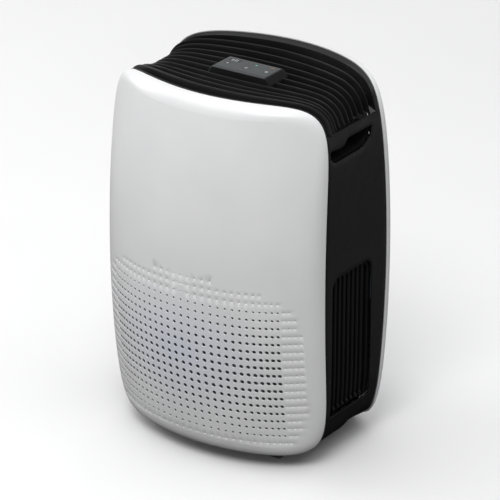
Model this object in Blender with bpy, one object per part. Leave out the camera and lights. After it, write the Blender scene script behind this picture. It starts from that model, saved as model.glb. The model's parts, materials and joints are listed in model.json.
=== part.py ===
"""A free-standing compressor dehumidifier: bowed white front and back shells round a black body,
a ribbed air outlet on top, side vents, a pull-out filter, a pull-out water tank and four casters.
Metres, +Z up. The front faces -Y and the floor is z = 0."""

import math

import bmesh
import bpy
from mathutils import Matrix, Vector

# ---------------------------------------------------------------- driving dimensions
CENTRE_Z = 0.278            # height of the widest point of both bowed shells
DEPTH = 0.337               # foremost to rearmost point
HANDLE_PROUD = 0.00635       # how far the tank's handle stands out behind that
FRONT_HALF_WIDTH, FRONT_RISE, FRONT_DROP, FRONT_SQUARENESS = 0.1791, 0.2687, 0.2618, 8.65
REAR_HALF_WIDTH, REAR_RISE, REAR_DROP, REAR_SQUARENESS = 0.1809, 0.2741, 0.2648, 8.0
BOW_X, BOW_Z = 0.180, 0.265  # half spans over which the bows below are measured
WALL = 0.0025
GAP = 0.0003                # clearance between pieces that touch
REVEAL = 0.0009             # how far the black body sits inside the white shells' outline
RIB_END_Z = 0.5026          # lower end of the top cover and its ribs
BASE_SEAM_Z = 0.0725        # joint between the side panels and the base
BASE_FLAT_Z = 0.0245        # underside of the base
RIB_COUNT, FIRST_RIB, RIB_PITCH = 10, 0.110, 0.0803   # fractions of the body's depth
RIB_HALF, RIB_FOOT_HALF = 0.0055, 0.0085
GROOVE_DEPTH = 0.010
TOP_DIP = 0.0072            # how far the rib crests sink in the middle of the top
# Directions, as width and height shares, of the points on a quarter of an outline: closest round the corner.
QUARTER = ((1, 0), (1, 0.25), (1, 0.5), (1, 0.7), (1, 0.83), (1, 0.93),
           (1, 1), (0.93, 1), (0.83, 1), (0.66, 1), (0.44, 1), (0.22, 1))
VENT = (0.114, 0.212, BASE_SEAM_Z + 0.001, 0.2885)    # depth from, to; z from, to
VENT_CORNER = 0.018
VENT_RIBS = 9
TANK_HALF_WIDTH, TANK_Z = 0.124, (0.040, 0.234)
TANK_FRONT = 0.205
FILTER_HALF_WIDTH, FILTER_Z = 0.130, (0.262, 0.478)
OPENING_CORNER = 0.016
WHEEL_RADIUS, WHEEL_WIDTH, CASTER_TRAIL = 0.0135, 0.016, 0.006
CASTERS = ((0.101, 0.0995), (0.110, 0.228))            # x, depth of the swivel pins
CASTER_WELL = 0.0275                                   # radius of the openings round them
FAN_CENTRE = (0.0, 0.175, 0.372)                       # x, depth, z
FAN_RADIUS = 0.082
COMPRESSOR = (0.048, 0.138)                            # x, depth
COMPRESSOR_RADIUS, FOOT_CIRCLE = 0.046, 0.0515
CONTROL_CENTRE_DEPTH, CONTROL_TOP_Z = 0.1665, 0.5503
CONTROL_HALF = (0.0435, 0.0203)                        # grey plate: half width, half depth
CONTROL_CUT = (0.0535, 0.1428, 0.1918)                 # opening in the ribs: half width, depth from, to
BUTTONS = (("timer_button", -0.0325, -0.003), ("power_button", 0.0005, -0.0048), ("mode_button", 0.033, -0.0027))
DISPLAY, LED = (-0.0285, 0.0115), (0.0073, 0.011)
DECK_Z = (0.2565, 0.2595)                              # partition between the compressor bay and the fan bay
PAN_Z = 0.0365
GLAND_X, GLAND_Z, GLAND_RADIUS = 0.1455, 0.110, 0.010
SCREWS = ((0.146, 0.248), (-0.146, 0.248), (0.146, 0.455), (-0.146, 0.455))    # x, z
SCREW_HEAD = 0.0038
TANK_HANDLE_HALF, TANK_HANDLE_Z = 0.055, 0.205
FLOAT_PIVOT = (-0.06, 0.222, 0.2225)                   # x, depth, z


# ---------------------------------------------------------------- shared shape of the body
def y_of(depth):
    """World y of a distance back from the foremost point."""
    return depth - (DEPTH + HANDLE_PROUD) / 2


def face_depth(x, z):
    u, w = x / BOW_X, (z - CENTRE_Z) / BOW_Z
    return 0.054 * u**2 + 0.021 * u**4 + 0.031 * w**2 + 0.0023 * w - 0.0018 * u**2 * w


def front_seam_depth(x, z):
    u, w = x / BOW_X, (z - CENTRE_Z) / BOW_Z
    return 0.0393 + 0.0545 * u**2 + 0.0146 * w**2 - 0.0009 * w


def rear_seam_depth(x, z):
    u, w = x / BOW_X, (z - CENTRE_Z) / BOW_Z
    return 0.322 - 0.0714 * u**2 - 0.0283 * w**2


def back_depth(x, z):
    return rear_seam_depth(x, z) + DEPTH - 0.322


def mix(a, b, t):
    return a + (b - a) * t


def outline_sizes(t, inset=0.0):
    """Half width, rise, drop and squareness of the outline at fraction t of the depth."""
    return (
        mix(FRONT_HALF_WIDTH, REAR_HALF_WIDTH, t) - inset,
        mix(FRONT_RISE, REAR_RISE, t) - inset,
        mix(FRONT_DROP, REAR_DROP, t) - inset,
        mix(FRONT_SQUARENESS, REAR_SQUARENESS, t),
    )


def outline_point(direction, t, inset=0.0):
    """(x, z) where a ray in this direction, as shares of width and height, meets the rounded outline."""
    half, rise, drop, n = outline_sizes(t, inset)
    p, q = direction
    reach = (abs(p) ** n + abs(q) ** n) ** (-1 / n)
    return half * p * reach, CENTRE_Z + (rise if q > 0 else drop) * q * reach


def side_x(z, t, inset=0.0):
    """Half width of the outline at height z."""
    half, rise, drop, n = outline_sizes(t, inset)
    share = abs(z - CENTRE_Z) / (rise if z > CENTRE_Z else drop)
    return half * (1 - share**n) ** (1 / n)


FRONT_STACK = 0.0042        # the front frame and its gaps, in front of the black body
SEAM_GAP = 0.0009           # between curved edges, whose facets differ a little


def body_depth(x, z, t):
    return mix(front_seam_depth(x, z) + FRONT_STACK, rear_seam_depth(x, z) - SEAM_GAP, t)


def round_outline():
    """Directions all the way round, from +X over the top."""
    over_top = list(QUARTER) + [(0, 1)] + [(-p, q) for p, q in QUARTER[:0:-1]]
    return over_top + [(-p, -q) for p, q in over_top]


def shoulders(height_sign):
    """Directions from one flank over the top, or under the bottom, to the other flank."""
    corner = [(p, q) for p, q in QUARTER if q / p > 0.85]
    across = [*corner, (0, 1), *[(-p, q) for p, q in corner[::-1]]]
    return [(p, q * height_sign) for p, q in across]


# ---------------------------------------------------------------- materials
PALETTE = {
    "white_gloss": ((0.80, 0.80, 0.81), 0.32, 0.0),
    "black_satin": ((0.012, 0.012, 0.013), 0.42, 0.0),
    "grey_plate": ((0.13, 0.135, 0.14), 0.38, 0.0),
    "button_grey": ((0.17, 0.175, 0.18), 0.45, 0.0),
    "smoked_lens": ((0.03, 0.035, 0.04), 0.12, 0.0),
    "board_green": ((0.02, 0.12, 0.05), 0.5, 0.0),
    "filter_grey": ((0.10, 0.10, 0.11), 0.9, 0.0),
    "tank_blue": ((0.30, 0.42, 0.55), 0.15, 0.0),
    "fin_aluminium": ((0.75, 0.76, 0.77), 0.35, 1.0),
    "copper": ((0.72, 0.35, 0.20), 0.3, 1.0),
    "inner_grey": ((0.35, 0.36, 0.37), 0.6, 0.0),
    "motor_steel": ((0.45, 0.46, 0.48), 0.35, 1.0),
    "compressor_black": ((0.02, 0.02, 0.022), 0.35, 0.3),
    "rubber_black": ((0.02, 0.02, 0.02), 0.85, 0.0),
    "float_white": ((0.75, 0.75, 0.72), 0.7, 0.0),
    "screw_steel": ((0.55, 0.55, 0.56), 0.3, 1.0),
}


def material(slot):
    made = bpy.data.materials.get(slot)
    if made:
        return made
    made = bpy.data.materials.new(slot)
    made.use_nodes = True
    colour, roughness, metallic = PALETTE[slot]
    shader = made.node_tree.nodes["Principled BSDF"]
    shader.inputs["Base Color"].default_value = (*colour, 1)
    shader.inputs["Roughness"].default_value = roughness
    shader.inputs["Metallic"].default_value = metallic
    return made


# ---------------------------------------------------------------- mesh helpers
def add_object(name, points, faces, slot, at=(0, 0, 0)):
    """One object from points and faces, its origin at `at`, its faces turned outwards."""
    mesh = bpy.data.meshes.new(name)
    mesh.from_pydata([Vector(p) - Vector(at) for p in points], [], faces)
    soft = bmesh.new()
    soft.from_mesh(mesh)
    bmesh.ops.recalc_face_normals(soft, faces=soft.faces)
    soft.to_mesh(mesh)
    soft.free()
    mesh.shade_smooth()
    mesh.set_sharp_from_angle(angle=math.radians(35))
    mesh.materials.append(material(slot))
    obj = bpy.data.objects.new(name, mesh)
    obj.location = at
    bpy.context.scene.collection.objects.link(obj)
    return obj


def ring_faces(first, second, count):
    return [(first + i, first + (i + 1) % count, second + (i + 1) % count, second + i) for i in range(count)]


def loft(name, rings, slot, wrap=False, at=(0, 0, 0)):
    """A skin over closed rings of equal length: wrapped into a tube ring, or with both ends filled."""
    count = len(rings[0])
    points = [p for ring in rings for p in ring]
    faces = []
    for k in range(len(rings) - 1):
        faces += ring_faces(k * count, (k + 1) * count, count)
    last = (len(rings) - 1) * count
    if wrap:
        faces += ring_faces(last, 0, count)
    else:
        for start, ring in ((0, rings[0]), (last, rings[-1])):
            middle = sum((Vector(p) for p in ring), Vector()) / count
            points.append(middle)
            faces += [(start + i, start + (i + 1) % count, len(points) - 1) for i in range(count)]
    return add_object(name, points, faces, slot, at)


def slab(name, outer, inner, slot, open_cells=frozenset()):
    """A sheet with thickness between two equal grids of points, with holes at the open cells."""
    rows, columns = len(outer), len(outer[0])
    points = [p for grid in (outer, inner) for row in grid for p in row]
    half = rows * columns

    def closed(r, c):
        return 0 <= r < rows - 1 and 0 <= c < columns - 1 and (r, c) not in open_cells

    faces = []
    for r in range(rows - 1):
        for c in range(columns - 1):
            if closed(r, c):
                a, b = r * columns + c, (r + 1) * columns + c
                faces.append((a, a + 1, b + 1, b))
                faces.append((half + a, half + b, half + b + 1, half + a + 1))
    for r in range(rows):
        for c in range(columns - 1):
            if closed(r, c) != closed(r - 1, c):
                a = r * columns + c
                faces.append((a, a + 1, half + a + 1, half + a))
    for r in range(rows - 1):
        for c in range(columns):
            if closed(r, c) != closed(r, c - 1):
                a = r * columns + c
                faces.append((a, a + columns, half + a + columns, half + a))
    return add_object(name, points, faces, slot)


def box(name, low, high, slot):
    corners = [(x, y, z) for x in (low[0], high[0]) for y in (low[1], high[1]) for z in (low[2], high[2])]
    faces = [(0, 1, 3, 2), (4, 6, 7, 5), (0, 4, 5, 1), (2, 3, 7, 6), (0, 2, 6, 4), (1, 5, 7, 3)]
    return add_object(name, corners, faces, slot)


def bevelled(obj, width, segments=2):
    bevel = obj.modifiers.new("Bevel", "BEVEL")
    bevel.width = width
    bevel.segments = segments
    bevel.limit_method = "ANGLE"
    bevel.angle_limit = math.radians(40)
    return obj


def circle(radius, count, start=0.0):
    return [(radius * math.cos(start + math.tau * i / count), radius * math.sin(start + math.tau * i / count))
            for i in range(count)]


def turned(name, profile, slot, axis="Z", centre=(0, 0, 0), count=24, wrap=False):
    """A profile of (radius, height) pairs swept round an axis; wrap closes a ring with a bore."""
    order = {"X": (2, 0, 1), "Y": (1, 2, 0), "Z": (0, 1, 2)}[axis]
    rings = []
    for radius, height in profile:
        turns = [(a, b, height) for a, b in circle(radius, count)]
        rings.append([tuple(centre[k] + turn[order[k]] for k in range(3)) for turn in turns])
    return loft(name, rings, slot, wrap, centre)


def rounded_rectangle(half_a, low_b, high_b, corner, steps=4):
    """Points (a, b) of a rectangle with four round corners, centred on a = 0."""
    points = []
    for turn, (ca, cb) in enumerate(((half_a, high_b), (-half_a, high_b), (-half_a, low_b), (half_a, low_b))):
        centre = (ca - math.copysign(corner, ca), cb - (corner if cb == high_b else -corner))
        for i in range(steps + 1):
            angle = math.radians(90 * (turn + i / steps))
            points.append((centre[0] + corner * math.cos(angle), centre[1] + corner * math.sin(angle)))
    return points


def offset_outline(points, distance):
    """The outline moved out by a distance along its corner normals (points run anticlockwise)."""
    moved = []
    for i, here in enumerate(points):
        before, after = Vector(points[i - 1]), Vector(points[(i + 1) % len(points)])
        along = (Vector(here) - before).normalized() + (after - Vector(here)).normalized()
        along.normalize()
        moved.append((here[0] + along[1] * distance, here[1] - along[0] * distance))
    return moved


def prism(name, outline, place, low, high, slot):
    """An outline pushed from low to high; place(a, b, h) gives the world point."""
    rings = [[place(a, b, h) for a, b in outline] for h in (low, high)]
    return loft(name, rings, slot)


def plate_with_holes(name, outline, holes, thickness, place, slot):
    """A flat plate with through holes, from a filled 2D curve; place is its 4x4 matrix."""
    curve = bpy.data.curves.new(name, "CURVE")
    curve.dimensions = "2D"
    curve.fill_mode = "BOTH"
    curve.extrude = thickness / 2
    for loop in [outline, *holes]:
        spline = curve.splines.new("POLY")
        spline.points.add(len(loop) - 1)
        for point, (a, b) in zip(spline.points, loop):
            point.co = (a, b, 0, 1)
        spline.use_cyclic_u = True
    curve.materials.append(material(slot))
    flat = bpy.data.objects.new(name + "_curve", curve)
    bpy.context.scene.collection.objects.link(flat)
    bpy.context.view_layer.update()
    mesh = bpy.data.meshes.new_from_object(flat.evaluated_get(bpy.context.evaluated_depsgraph_get()))
    bpy.data.objects.remove(flat)
    soft = bmesh.new()
    soft.from_mesh(mesh)
    bmesh.ops.remove_doubles(soft, verts=soft.verts, dist=1e-6)
    soft.to_mesh(mesh)
    soft.free()
    obj = bpy.data.objects.new(name, mesh)
    obj.matrix_world = place
    bpy.context.scene.collection.objects.link(obj)
    return obj


def tube(name, route, radius, slot, sides=1):
    """A bent pipe along a smooth curve through its route's points."""
    curve = bpy.data.curves.new(name, "CURVE")
    curve.dimensions = "3D"
    curve.bevel_depth = radius
    curve.bevel_resolution = sides
    curve.use_fill_caps = True
    spline = curve.splines.new("POLY")
    smooth = catmull_rom(route, 4)
    spline.points.add(len(smooth) - 1)
    for point, place in zip(spline.points, smooth):
        point.co = (*place, 1)
    curve.materials.append(material(slot))
    obj = bpy.data.objects.new(name, curve)
    bpy.context.scene.collection.objects.link(obj)
    return obj


def catmull_rom(route, steps):
    ends = [Vector(p) for p in (route[0], *route, route[-1])]
    smooth = []
    for i in range(len(ends) - 3):
        a, b, c, d = ends[i : i + 4]
        for k in range(steps):
            t = k / steps
            smooth.append(0.5 * (2 * b + (c - a) * t + (2 * a - 5 * b + 4 * c - d) * t**2
                                 + (3 * b - a - 3 * c + d) * t**3))
    return smooth + [ends[-1]]


def boolean(obj, other, operation):
    modifier = obj.modifiers.new(operation.title(), "BOOLEAN")
    modifier.operation = operation
    modifier.solver = "EXACT"
    modifier.object = other
    other.hide_render = True
    other.display_type = "WIRE"
    return obj


# ---------------------------------------------------------------- white shells
def rolled_shell(name, seam, face, sign, slot, sizes_t):
    """A bowed shell: from its seam it rolls over onto its face. sign is -1 for the front, +1 for the back."""
    def skin(inset, lift):
        rings = []
        for share in (0.0, 0.33, 0.67, 1.0):
            ring = []
            for direction in round_outline():
                x0, z0 = outline_point(direction, sizes_t, inset)
                roll = abs(face(x0, z0) - seam(x0, z0))
                p, q = (abs(share_of) ** 8 for share_of in direction)
                reach = inset + roll * (0.72 + 0.25 * q / (p + q))
                x1, z1 = outline_point(direction, sizes_t, reach)
                start = seam(x0, z0)
                corner = face(x0, z0) - sign * lift
                end = face(x1, z1) - sign * lift
                a, b, c = (1 - share) ** 2, 2 * share * (1 - share), share**2
                x, z = mix(x0, x1, c), mix(z0, z1, c)
                ring.append((x, y_of(a * start + b * corner + c * end), z))
            rings.append(ring)
        for shrink in (0.7, 0.35, 0.08):
            ring = []
            for x, _, z in rings[3]:
                x, z = x * shrink, CENTRE_Z + (z - CENTRE_Z) * shrink
                ring.append((x, y_of(face(x, z) - sign * lift), z))
            rings.append(ring)
        return rings

    outer, inner = skin(0.0, 0.0), skin(WALL, WALL)
    return loft(name, outer[::-1] + inner, slot)


def back_opening(name, half_width, z_range, clearance, corner):
    """Cutter for an opening in the back, a rounded rectangle seen from behind."""
    outline = rounded_rectangle(half_width + clearance, z_range[0] - clearance, z_range[1] + clearance, corner)
    return prism(name, outline, place_y, 0.20, 0.40, "inner_grey")


def make_front_panel():
    return rolled_shell("front_panel", front_seam_depth, face_depth, -1, "white_gloss", 0.0)


def make_back_shell():
    shell = rolled_shell("back_shell", rear_seam_depth, back_depth, 1, "white_gloss", 1.0)
    boolean(shell, back_opening("tank_cutter", TANK_HALF_WIDTH, TANK_Z, 0.0012, 0.002), "DIFFERENCE")
    intake = back_opening("filter_cutter", FILTER_HALF_WIDTH, FILTER_Z, 0.0012, OPENING_CORNER)
    boolean(shell, intake, "DIFFERENCE")
    bores = [("gland_cutter", GLAND_X, GLAND_Z, GLAND_RADIUS, 20)]
    bores.append(("drain_cutter", -GLAND_X, GLAND_Z, GLAND_RADIUS, 20))
    bores += [(f"screw_cutter_{index}", x, z, SCREW_HEAD, 12) for index, (x, z) in enumerate(SCREWS)]
    for name, x, z, radius, count in bores:
        profile = [(radius + GAP, 0.20), (radius + GAP, 0.36)]
        boolean(shell, turned(name, profile, "inner_grey", "Y", (x, y_of(0), z), count), "DIFFERENCE")
    return shell


# ---------------------------------------------------------------- black body
def make_front_frame():
    """The frame behind the front panel, open in the middle for the incoming air."""
    def ring(share, extra):
        points = []
        for direction in round_outline():
            x, z = outline_point(direction, 0.0, REVEAL + 0.0006)
            x, z = x * share, CENTRE_Z + (z - CENTRE_Z) * share
            points.append((x, y_of(front_seam_depth(x, z) + extra), z))
        return points

    shares = (1.0, 0.86, 0.72)
    rings = [ring(s, SEAM_GAP) for s in shares] + [ring(s, FRONT_STACK - SEAM_GAP) for s in shares[::-1]]
    return loft("front_frame", rings, "black_satin", wrap=True)


def handle_outline():
    """Hand opening in (depth, z): a straight grip edge that dips over its front part."""
    top, dip, floor = CENTRE_Z + 0.2097, CENTRE_Z + 0.2030, CENTRE_Z + 0.1845
    return [(0.1225, floor), (0.1520, floor + 0.0002), (0.1840, floor + 0.0007), (0.1975, floor + 0.0045),
            (0.2065, floor + 0.0125), (0.2095, floor + 0.0205), (0.2080, top), (0.1800, top), (0.1560, top),
            (0.1490, top - 0.0022), (0.1430, dip - 0.0005), (0.1340, dip - 0.0020), (0.1220, dip - 0.0010),
            (0.1110, dip), (0.1090, dip - 0.0060), (0.1120, floor + 0.0055)]


def vent_outline(shrink=0.0):
    """Side vent in (depth, z): square below, round corners above."""
    low, high, floor, top = VENT[0] + shrink, VENT[1] - shrink, VENT[2], VENT[3] - shrink
    corner = VENT_CORNER - shrink
    points = [(low, floor + shrink), (high, floor + shrink)]
    for centre, start in (((high - corner, top - corner), 0), ((low + corner, top - corner), 90)):
        for i in range(7):
            angle = math.radians(start + 15 * i)
            points.append((centre[0] + corner * math.cos(angle), centre[1] + corner * math.sin(angle)))
    return points


def place_x(a, b, h):
    """(depth, z) outlines pushed along X."""
    return h, y_of(a), b


def place_y(a, b, h):
    """(x, z) outlines pushed along the depth."""
    return a, y_of(h), b


def place_z(a, b, h):
    """(x, y) outlines pushed upwards."""
    return a, b, h


def make_side_panel(name, side):
    """One black flank, with an inward ledge under the ribs, a hand opening and a vent opening."""
    low, high = BASE_SEAM_Z + GAP, RIB_END_Z - GAP
    levels = [mix(low, high - 0.003, i / 9) for i in range(10)]
    outer_rows = [(z, REVEAL) for z in [*levels, high - 0.0015, high]]
    inner_rows = [(z, REVEAL + WALL) for z in levels] + [(high - 0.003, 0.013), (high, 0.013)]
    stations = [i / 6 for i in range(7)]

    def grid(rows):
        grid_rows = []
        for z, inset in rows:
            widths = [side_x(z, t, inset) for t in stations]
            grid_rows.append([(side * x, y_of(body_depth(x, z, t)), z) for x, t in zip(widths, stations)])
        return grid_rows

    panel = slab(name, grid(outer_rows), grid(inner_rows), "black_satin")
    near, far = sorted((side * 0.160, side * 0.190))
    hand = prism(name + "_hand_cutter", handle_outline(), place_x, near, far, "black_satin")
    vent = prism(name + "_vent_cutter", vent_outline(), place_x, near, far, "black_satin")
    boolean(panel, hand, "DIFFERENCE")
    return boolean(panel, vent, "DIFFERENCE")


def make_handle_cup(name, side):
    """The finger pocket behind the hand opening; it rises behind the grip edge."""
    outline = handle_outline()
    face_x, mid_x, end_x, skin = 0.1718, 0.156, 0.144, 0.002

    def ring(x, grow, lift):
        return [(side * x, y_of(a), b + lift) for a, b in offset_outline(outline, grow)]

    rings = [ring(end_x - skin, 0.000, 0.004), ring(mid_x, skin + 0.001, 0.004), ring(face_x - skin, skin, 0),
             ring(face_x - skin, 0.004, 0), ring(face_x, 0.004, 0), ring(face_x, 0.0, 0),
             ring(mid_x, 0.001, 0.004), ring(end_x, -0.002, 0.004)]
    return loft(name, rings, "black_satin")


def make_side_grille(name, side):
    """The slotted insert of one vent."""
    outline = vent_outline(GAP)
    border, bottom = 0.0045, 0.0045
    low, high = VENT[0] + border, VENT[1] - border
    pitch = (high - low) / (VENT_RIBS + 1)
    slot_half = 0.0022
    slots = []
    for i in range(VENT_RIBS + 1):
        middle = low + pitch * (i + 0.5)
        reach = min(middle - VENT[0], VENT[1] - middle)
        top = VENT[3] - border
        if reach < VENT_CORNER:
            inside = VENT_CORNER - reach + slot_half
            top += math.sqrt(VENT_CORNER**2 - inside**2) - VENT_CORNER
        slots.append([(middle - slot_half, VENT[2] + bottom), (middle + slot_half, VENT[2] + bottom),
                      (middle + slot_half, top), (middle - slot_half, top)])
    # The curve's own axes are (depth, z); its thickness lies along x.
    thickness, outer_x = 0.0045, 0.1748
    middle_x = side * (outer_x - thickness / 2)
    place = Matrix(((0, 0, side, middle_x), (1, 0, 0, y_of(0)), (0, 1, 0, 0), (0, 0, 0, 1)))
    if side < 0:
        outline, slots = outline[::-1], [loop[::-1] for loop in slots]
    return plate_with_holes(name, outline, slots, thickness, place, "black_satin")


def crest_dip(t):
    """How far the top's rib crests sink below the straight line between the two shells."""
    def ease(a, b):
        share = min(max((t - a) / (b - a), 0.0), 1.0)
        return share * share * (3 - 2 * share)
    return TOP_DIP * (ease(0.08, 0.34) - ease(0.62, 0.92))


def top_stations():
    """(t, inset, is_groove_cell_after) along the depth of the top cover."""
    rim = 0.012
    stations = [(0.0, False, False), (rim, False, False), (rim + 0.002, True, True)]
    for k in range(RIB_COUNT):
        middle = FIRST_RIB + RIB_PITCH * k
        stations += [(middle - RIB_FOOT_HALF, True, False), (middle - RIB_HALF, False, False),
                     (middle + RIB_HALF, False, False), (middle + RIB_FOOT_HALF, True, True)]
    stations += [(0.940, True, False), (0.946, False, False), (1.0, False, False)]
    return stations


def make_top_cover():
    """The ribbed air outlet: ribs follow the outline over the top and down both shoulders."""
    stations = top_stations()
    directions = shoulders(1)

    def row(t, inset):
        half = side_x(RIB_END_Z, t, inset)
        over = [outline_point(d, t, inset) for d in directions]
        across = [(half, RIB_END_Z), *[(x, max(z, RIB_END_Z + 0.002)) for x, z in over], (-half, RIB_END_Z)]
        return [(x, y_of(body_depth(x, z, t)), z) for x, z in across]

    floor_inset = REVEAL + TOP_DIP + GROOVE_DEPTH
    outer = [row(t, floor_inset if sunk else REVEAL + crest_dip(t)) for t, sunk, _ in stations]
    inner = [row(t, floor_inset + 0.002) for t, _, _ in stations]
    last = len(directions)
    vented = [c for c in range(3, last - 2) if c not in (6, last - 6)]
    open_cells = {(r, c) for r, (_, _, groove) in enumerate(stations) if groove for c in vented}
    cover = slab("top_cover", outer, inner, "black_satin", open_cells)
    half, front, rear = CONTROL_CUT
    cutter = box("control_cutter", (-half, y_of(front), 0.50), (half, y_of(rear), 0.60), "black_satin")
    return boolean(cover, cutter, "DIFFERENCE")


def make_base():
    """The base skirt: the lower part of the body's outline, flat below, with four caster openings."""
    stations = [i / 6 for i in range(7)]
    seam_z = BASE_SEAM_Z - GAP

    def row(t, inset, thickness):
        half = side_x(seam_z, t, inset)
        across = [(half, seam_z), *[outline_point(d, t, inset) for d in shoulders(-1)], (-half, seam_z)]
        return [(x, y_of(body_depth(x, z, t)), max(z, BASE_FLAT_Z + thickness)) for x, z in across]

    base = slab("base_skirt", [row(t, REVEAL + 0.001, 0) for t in stations],
                [row(t, REVEAL + 0.001 + WALL, WALL) for t in stations], "black_satin")
    for index, (x, depth) in enumerate(caster_places()):
        cutter = turned(f"caster_cutter_{index}", [(CASTER_WELL, 0.0), (CASTER_WELL, 0.0335)], "black_satin",
                        "Z", (x, y_of(depth), 0), 28)
        boolean(base, cutter, "DIFFERENCE")
    for index, (x, depth) in enumerate(caster_places()[:2]):
        mouth = box(f"front_mouth_{index}", (x - 0.020, y_of(0.060), 0.0), (x + 0.020, y_of(depth), 0.0335),
                    "black_satin")
        boolean(base, mouth, "DIFFERENCE")
    for side in (-1, 1):
        near, far = sorted((side * 0.142, side * 0.190))
        arch = prism(f"arch_{side + 1}", base_arch(), place_x, near, far, "black_satin")
        boolean(base, arch, "DIFFERENCE")
    return base


def base_arch():
    """The notch under each flank in (depth, z): it rises steeply in front and falls slowly behind."""
    return [(0.1630, 0.0200), (0.1665, 0.0354), (0.1760, 0.0436), (0.1850, 0.0436), (0.2030, 0.0398),
            (0.2260, 0.0340), (0.2400, 0.0315), (0.2440, 0.0200)]


def caster_places():
    return [(side * x, depth) for x, depth in CASTERS for side in (1, -1)]


def make_deck():
    """The partition that carries the fan housing and the drip tray, notched where the two pipes pass."""
    outline = [(0.169, y_of(0.106)), (0.169, y_of(0.236)), (0.124, y_of(0.284)),
               (-0.124, y_of(0.284)), (-0.169, y_of(0.236)), (-0.169, y_of(0.106))]
    holes = [[(middle + a, b) for a, b in rounded_rectangle(half, y_of(0.130), y_of(0.188), 0.008, 2)][::-1]
             for middle, half in ((0.099, 0.034), (-0.100, 0.030))]
    holes.append([(a, y_of(0.252) + b) for a, b in circle(0.011, 16)][::-1])
    place = Matrix.Translation((0, 0, (DECK_Z[0] + DECK_Z[1]) / 2))
    return plate_with_holes("inner_deck", outline, holes, DECK_Z[1] - DECK_Z[0], place, "inner_grey")


def make_base_pan():
    """The flat inner floor that carries the compressor, the tank and the casters; its front edge is bowed."""
    half, rear = 0.140, y_of(0.252)
    front = [mix(-half, half, i / 14) for i in range(15)]
    outline = [(half, rear), (-half, rear)]
    outline += [(x, y_of(front_seam_depth(x, PAN_Z) + FRONT_STACK + 0.004)) for x in front]
    holes = [[(x + a, y_of(depth) + b) for a, b in circle(0.0036, 10)][::-1] for x, depth in caster_places()]
    place = Matrix.Translation((0, 0, PAN_Z + 0.0015))
    return plate_with_holes("base_pan", outline, holes, 0.003, place, "inner_grey")


# ---------------------------------------------------------------- controls
def make_controls():
    half_x, half_y = CONTROL_HALF
    middle, top = y_of(CONTROL_CENTRE_DEPTH), CONTROL_TOP_Z
    deep, sunk = 0.504, top - 0.0060
    # half width, front reach, rear reach, height
    rim = [(half_x + 0.0092, half_y + 0.0030, half_y + 0.0037, deep),
           (half_x + 0.0092, half_y + 0.0030, half_y + 0.0037, top - 0.0100),
           (half_x + 0.0026, half_y + 0.0024, half_y + 0.0026, top - 0.0014),
           (half_x + 0.0012, half_y + 0.0012, half_y + 0.0012, top - 0.0004),
           (half_x + 0.0004, half_y + 0.0004, half_y + 0.0004, top - 0.0004),
           (half_x + 0.0004, half_y + 0.0004, half_y + 0.0004, sunk),
           (half_x - 0.0030, half_y - 0.0030, half_y - 0.0030, sunk),
           (half_x - 0.0030, half_y - 0.0030, half_y - 0.0030, deep)]
    rings = []
    for k, (x, front, rear, z) in enumerate(rim):
        corner = 0.0015 if k > 2 else 0.0030
        rings.append([(a, middle + b, z) for a, b in rounded_rectangle(x, -front, rear, corner, 2)])
    loft("control_housing", rings, "black_satin", wrap=True)

    holes = [[(x + a, y + b) for a, b in circle(0.0048, 16)][::-1] for _, x, y in BUTTONS]
    window = rounded_rectangle(0.0098, -0.0042, 0.0042, 0.001, 1)
    holes.append([(DISPLAY[0] + a, DISPLAY[1] + b) for a, b in window][::-1])
    holes.append([(LED[0] + a, LED[1] + b) for a, b in circle(0.0015, 8)][::-1])
    plate = [(a, b) for a, b in rounded_rectangle(half_x, -half_y, half_y, 0.0015, 2)]
    place = Matrix.Translation((0, middle, top - 0.0015))
    plate_with_holes("control_plate", plate, holes, 0.003, place, "grey_plate")
    for name, x, y in BUTTONS:
        profile = [(0.0056, -0.0062), (0.0056, -0.0036), (0.0045, -0.0036), (0.0045, -0.0002),
                   (0.0040, 0.0002)]
        turned(name, profile, "button_grey", "Z", (x, middle + y, top), 16)
    pane = rounded_rectangle(0.0095, -0.0039, 0.0039, 0.0009, 1)
    lens = [(DISPLAY[0] + a, middle + DISPLAY[1] + b) for a, b in pane]
    prism("display_lens", lens, place_z, top - 0.0040, top - 0.0002, "smoked_lens")
    turned("status_led", [(0.0012, -0.0045), (0.0012, -0.0002)], "smoked_lens", "Z",
           (LED[0], middle + LED[1], top), 8)
    board = box("control_board", (-0.0385, middle - 0.0155, top - 0.0125),
                (0.0385, middle + 0.0155, top - 0.0109), "board_green")
    bevelled(board, 0.0004, 1)


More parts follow.
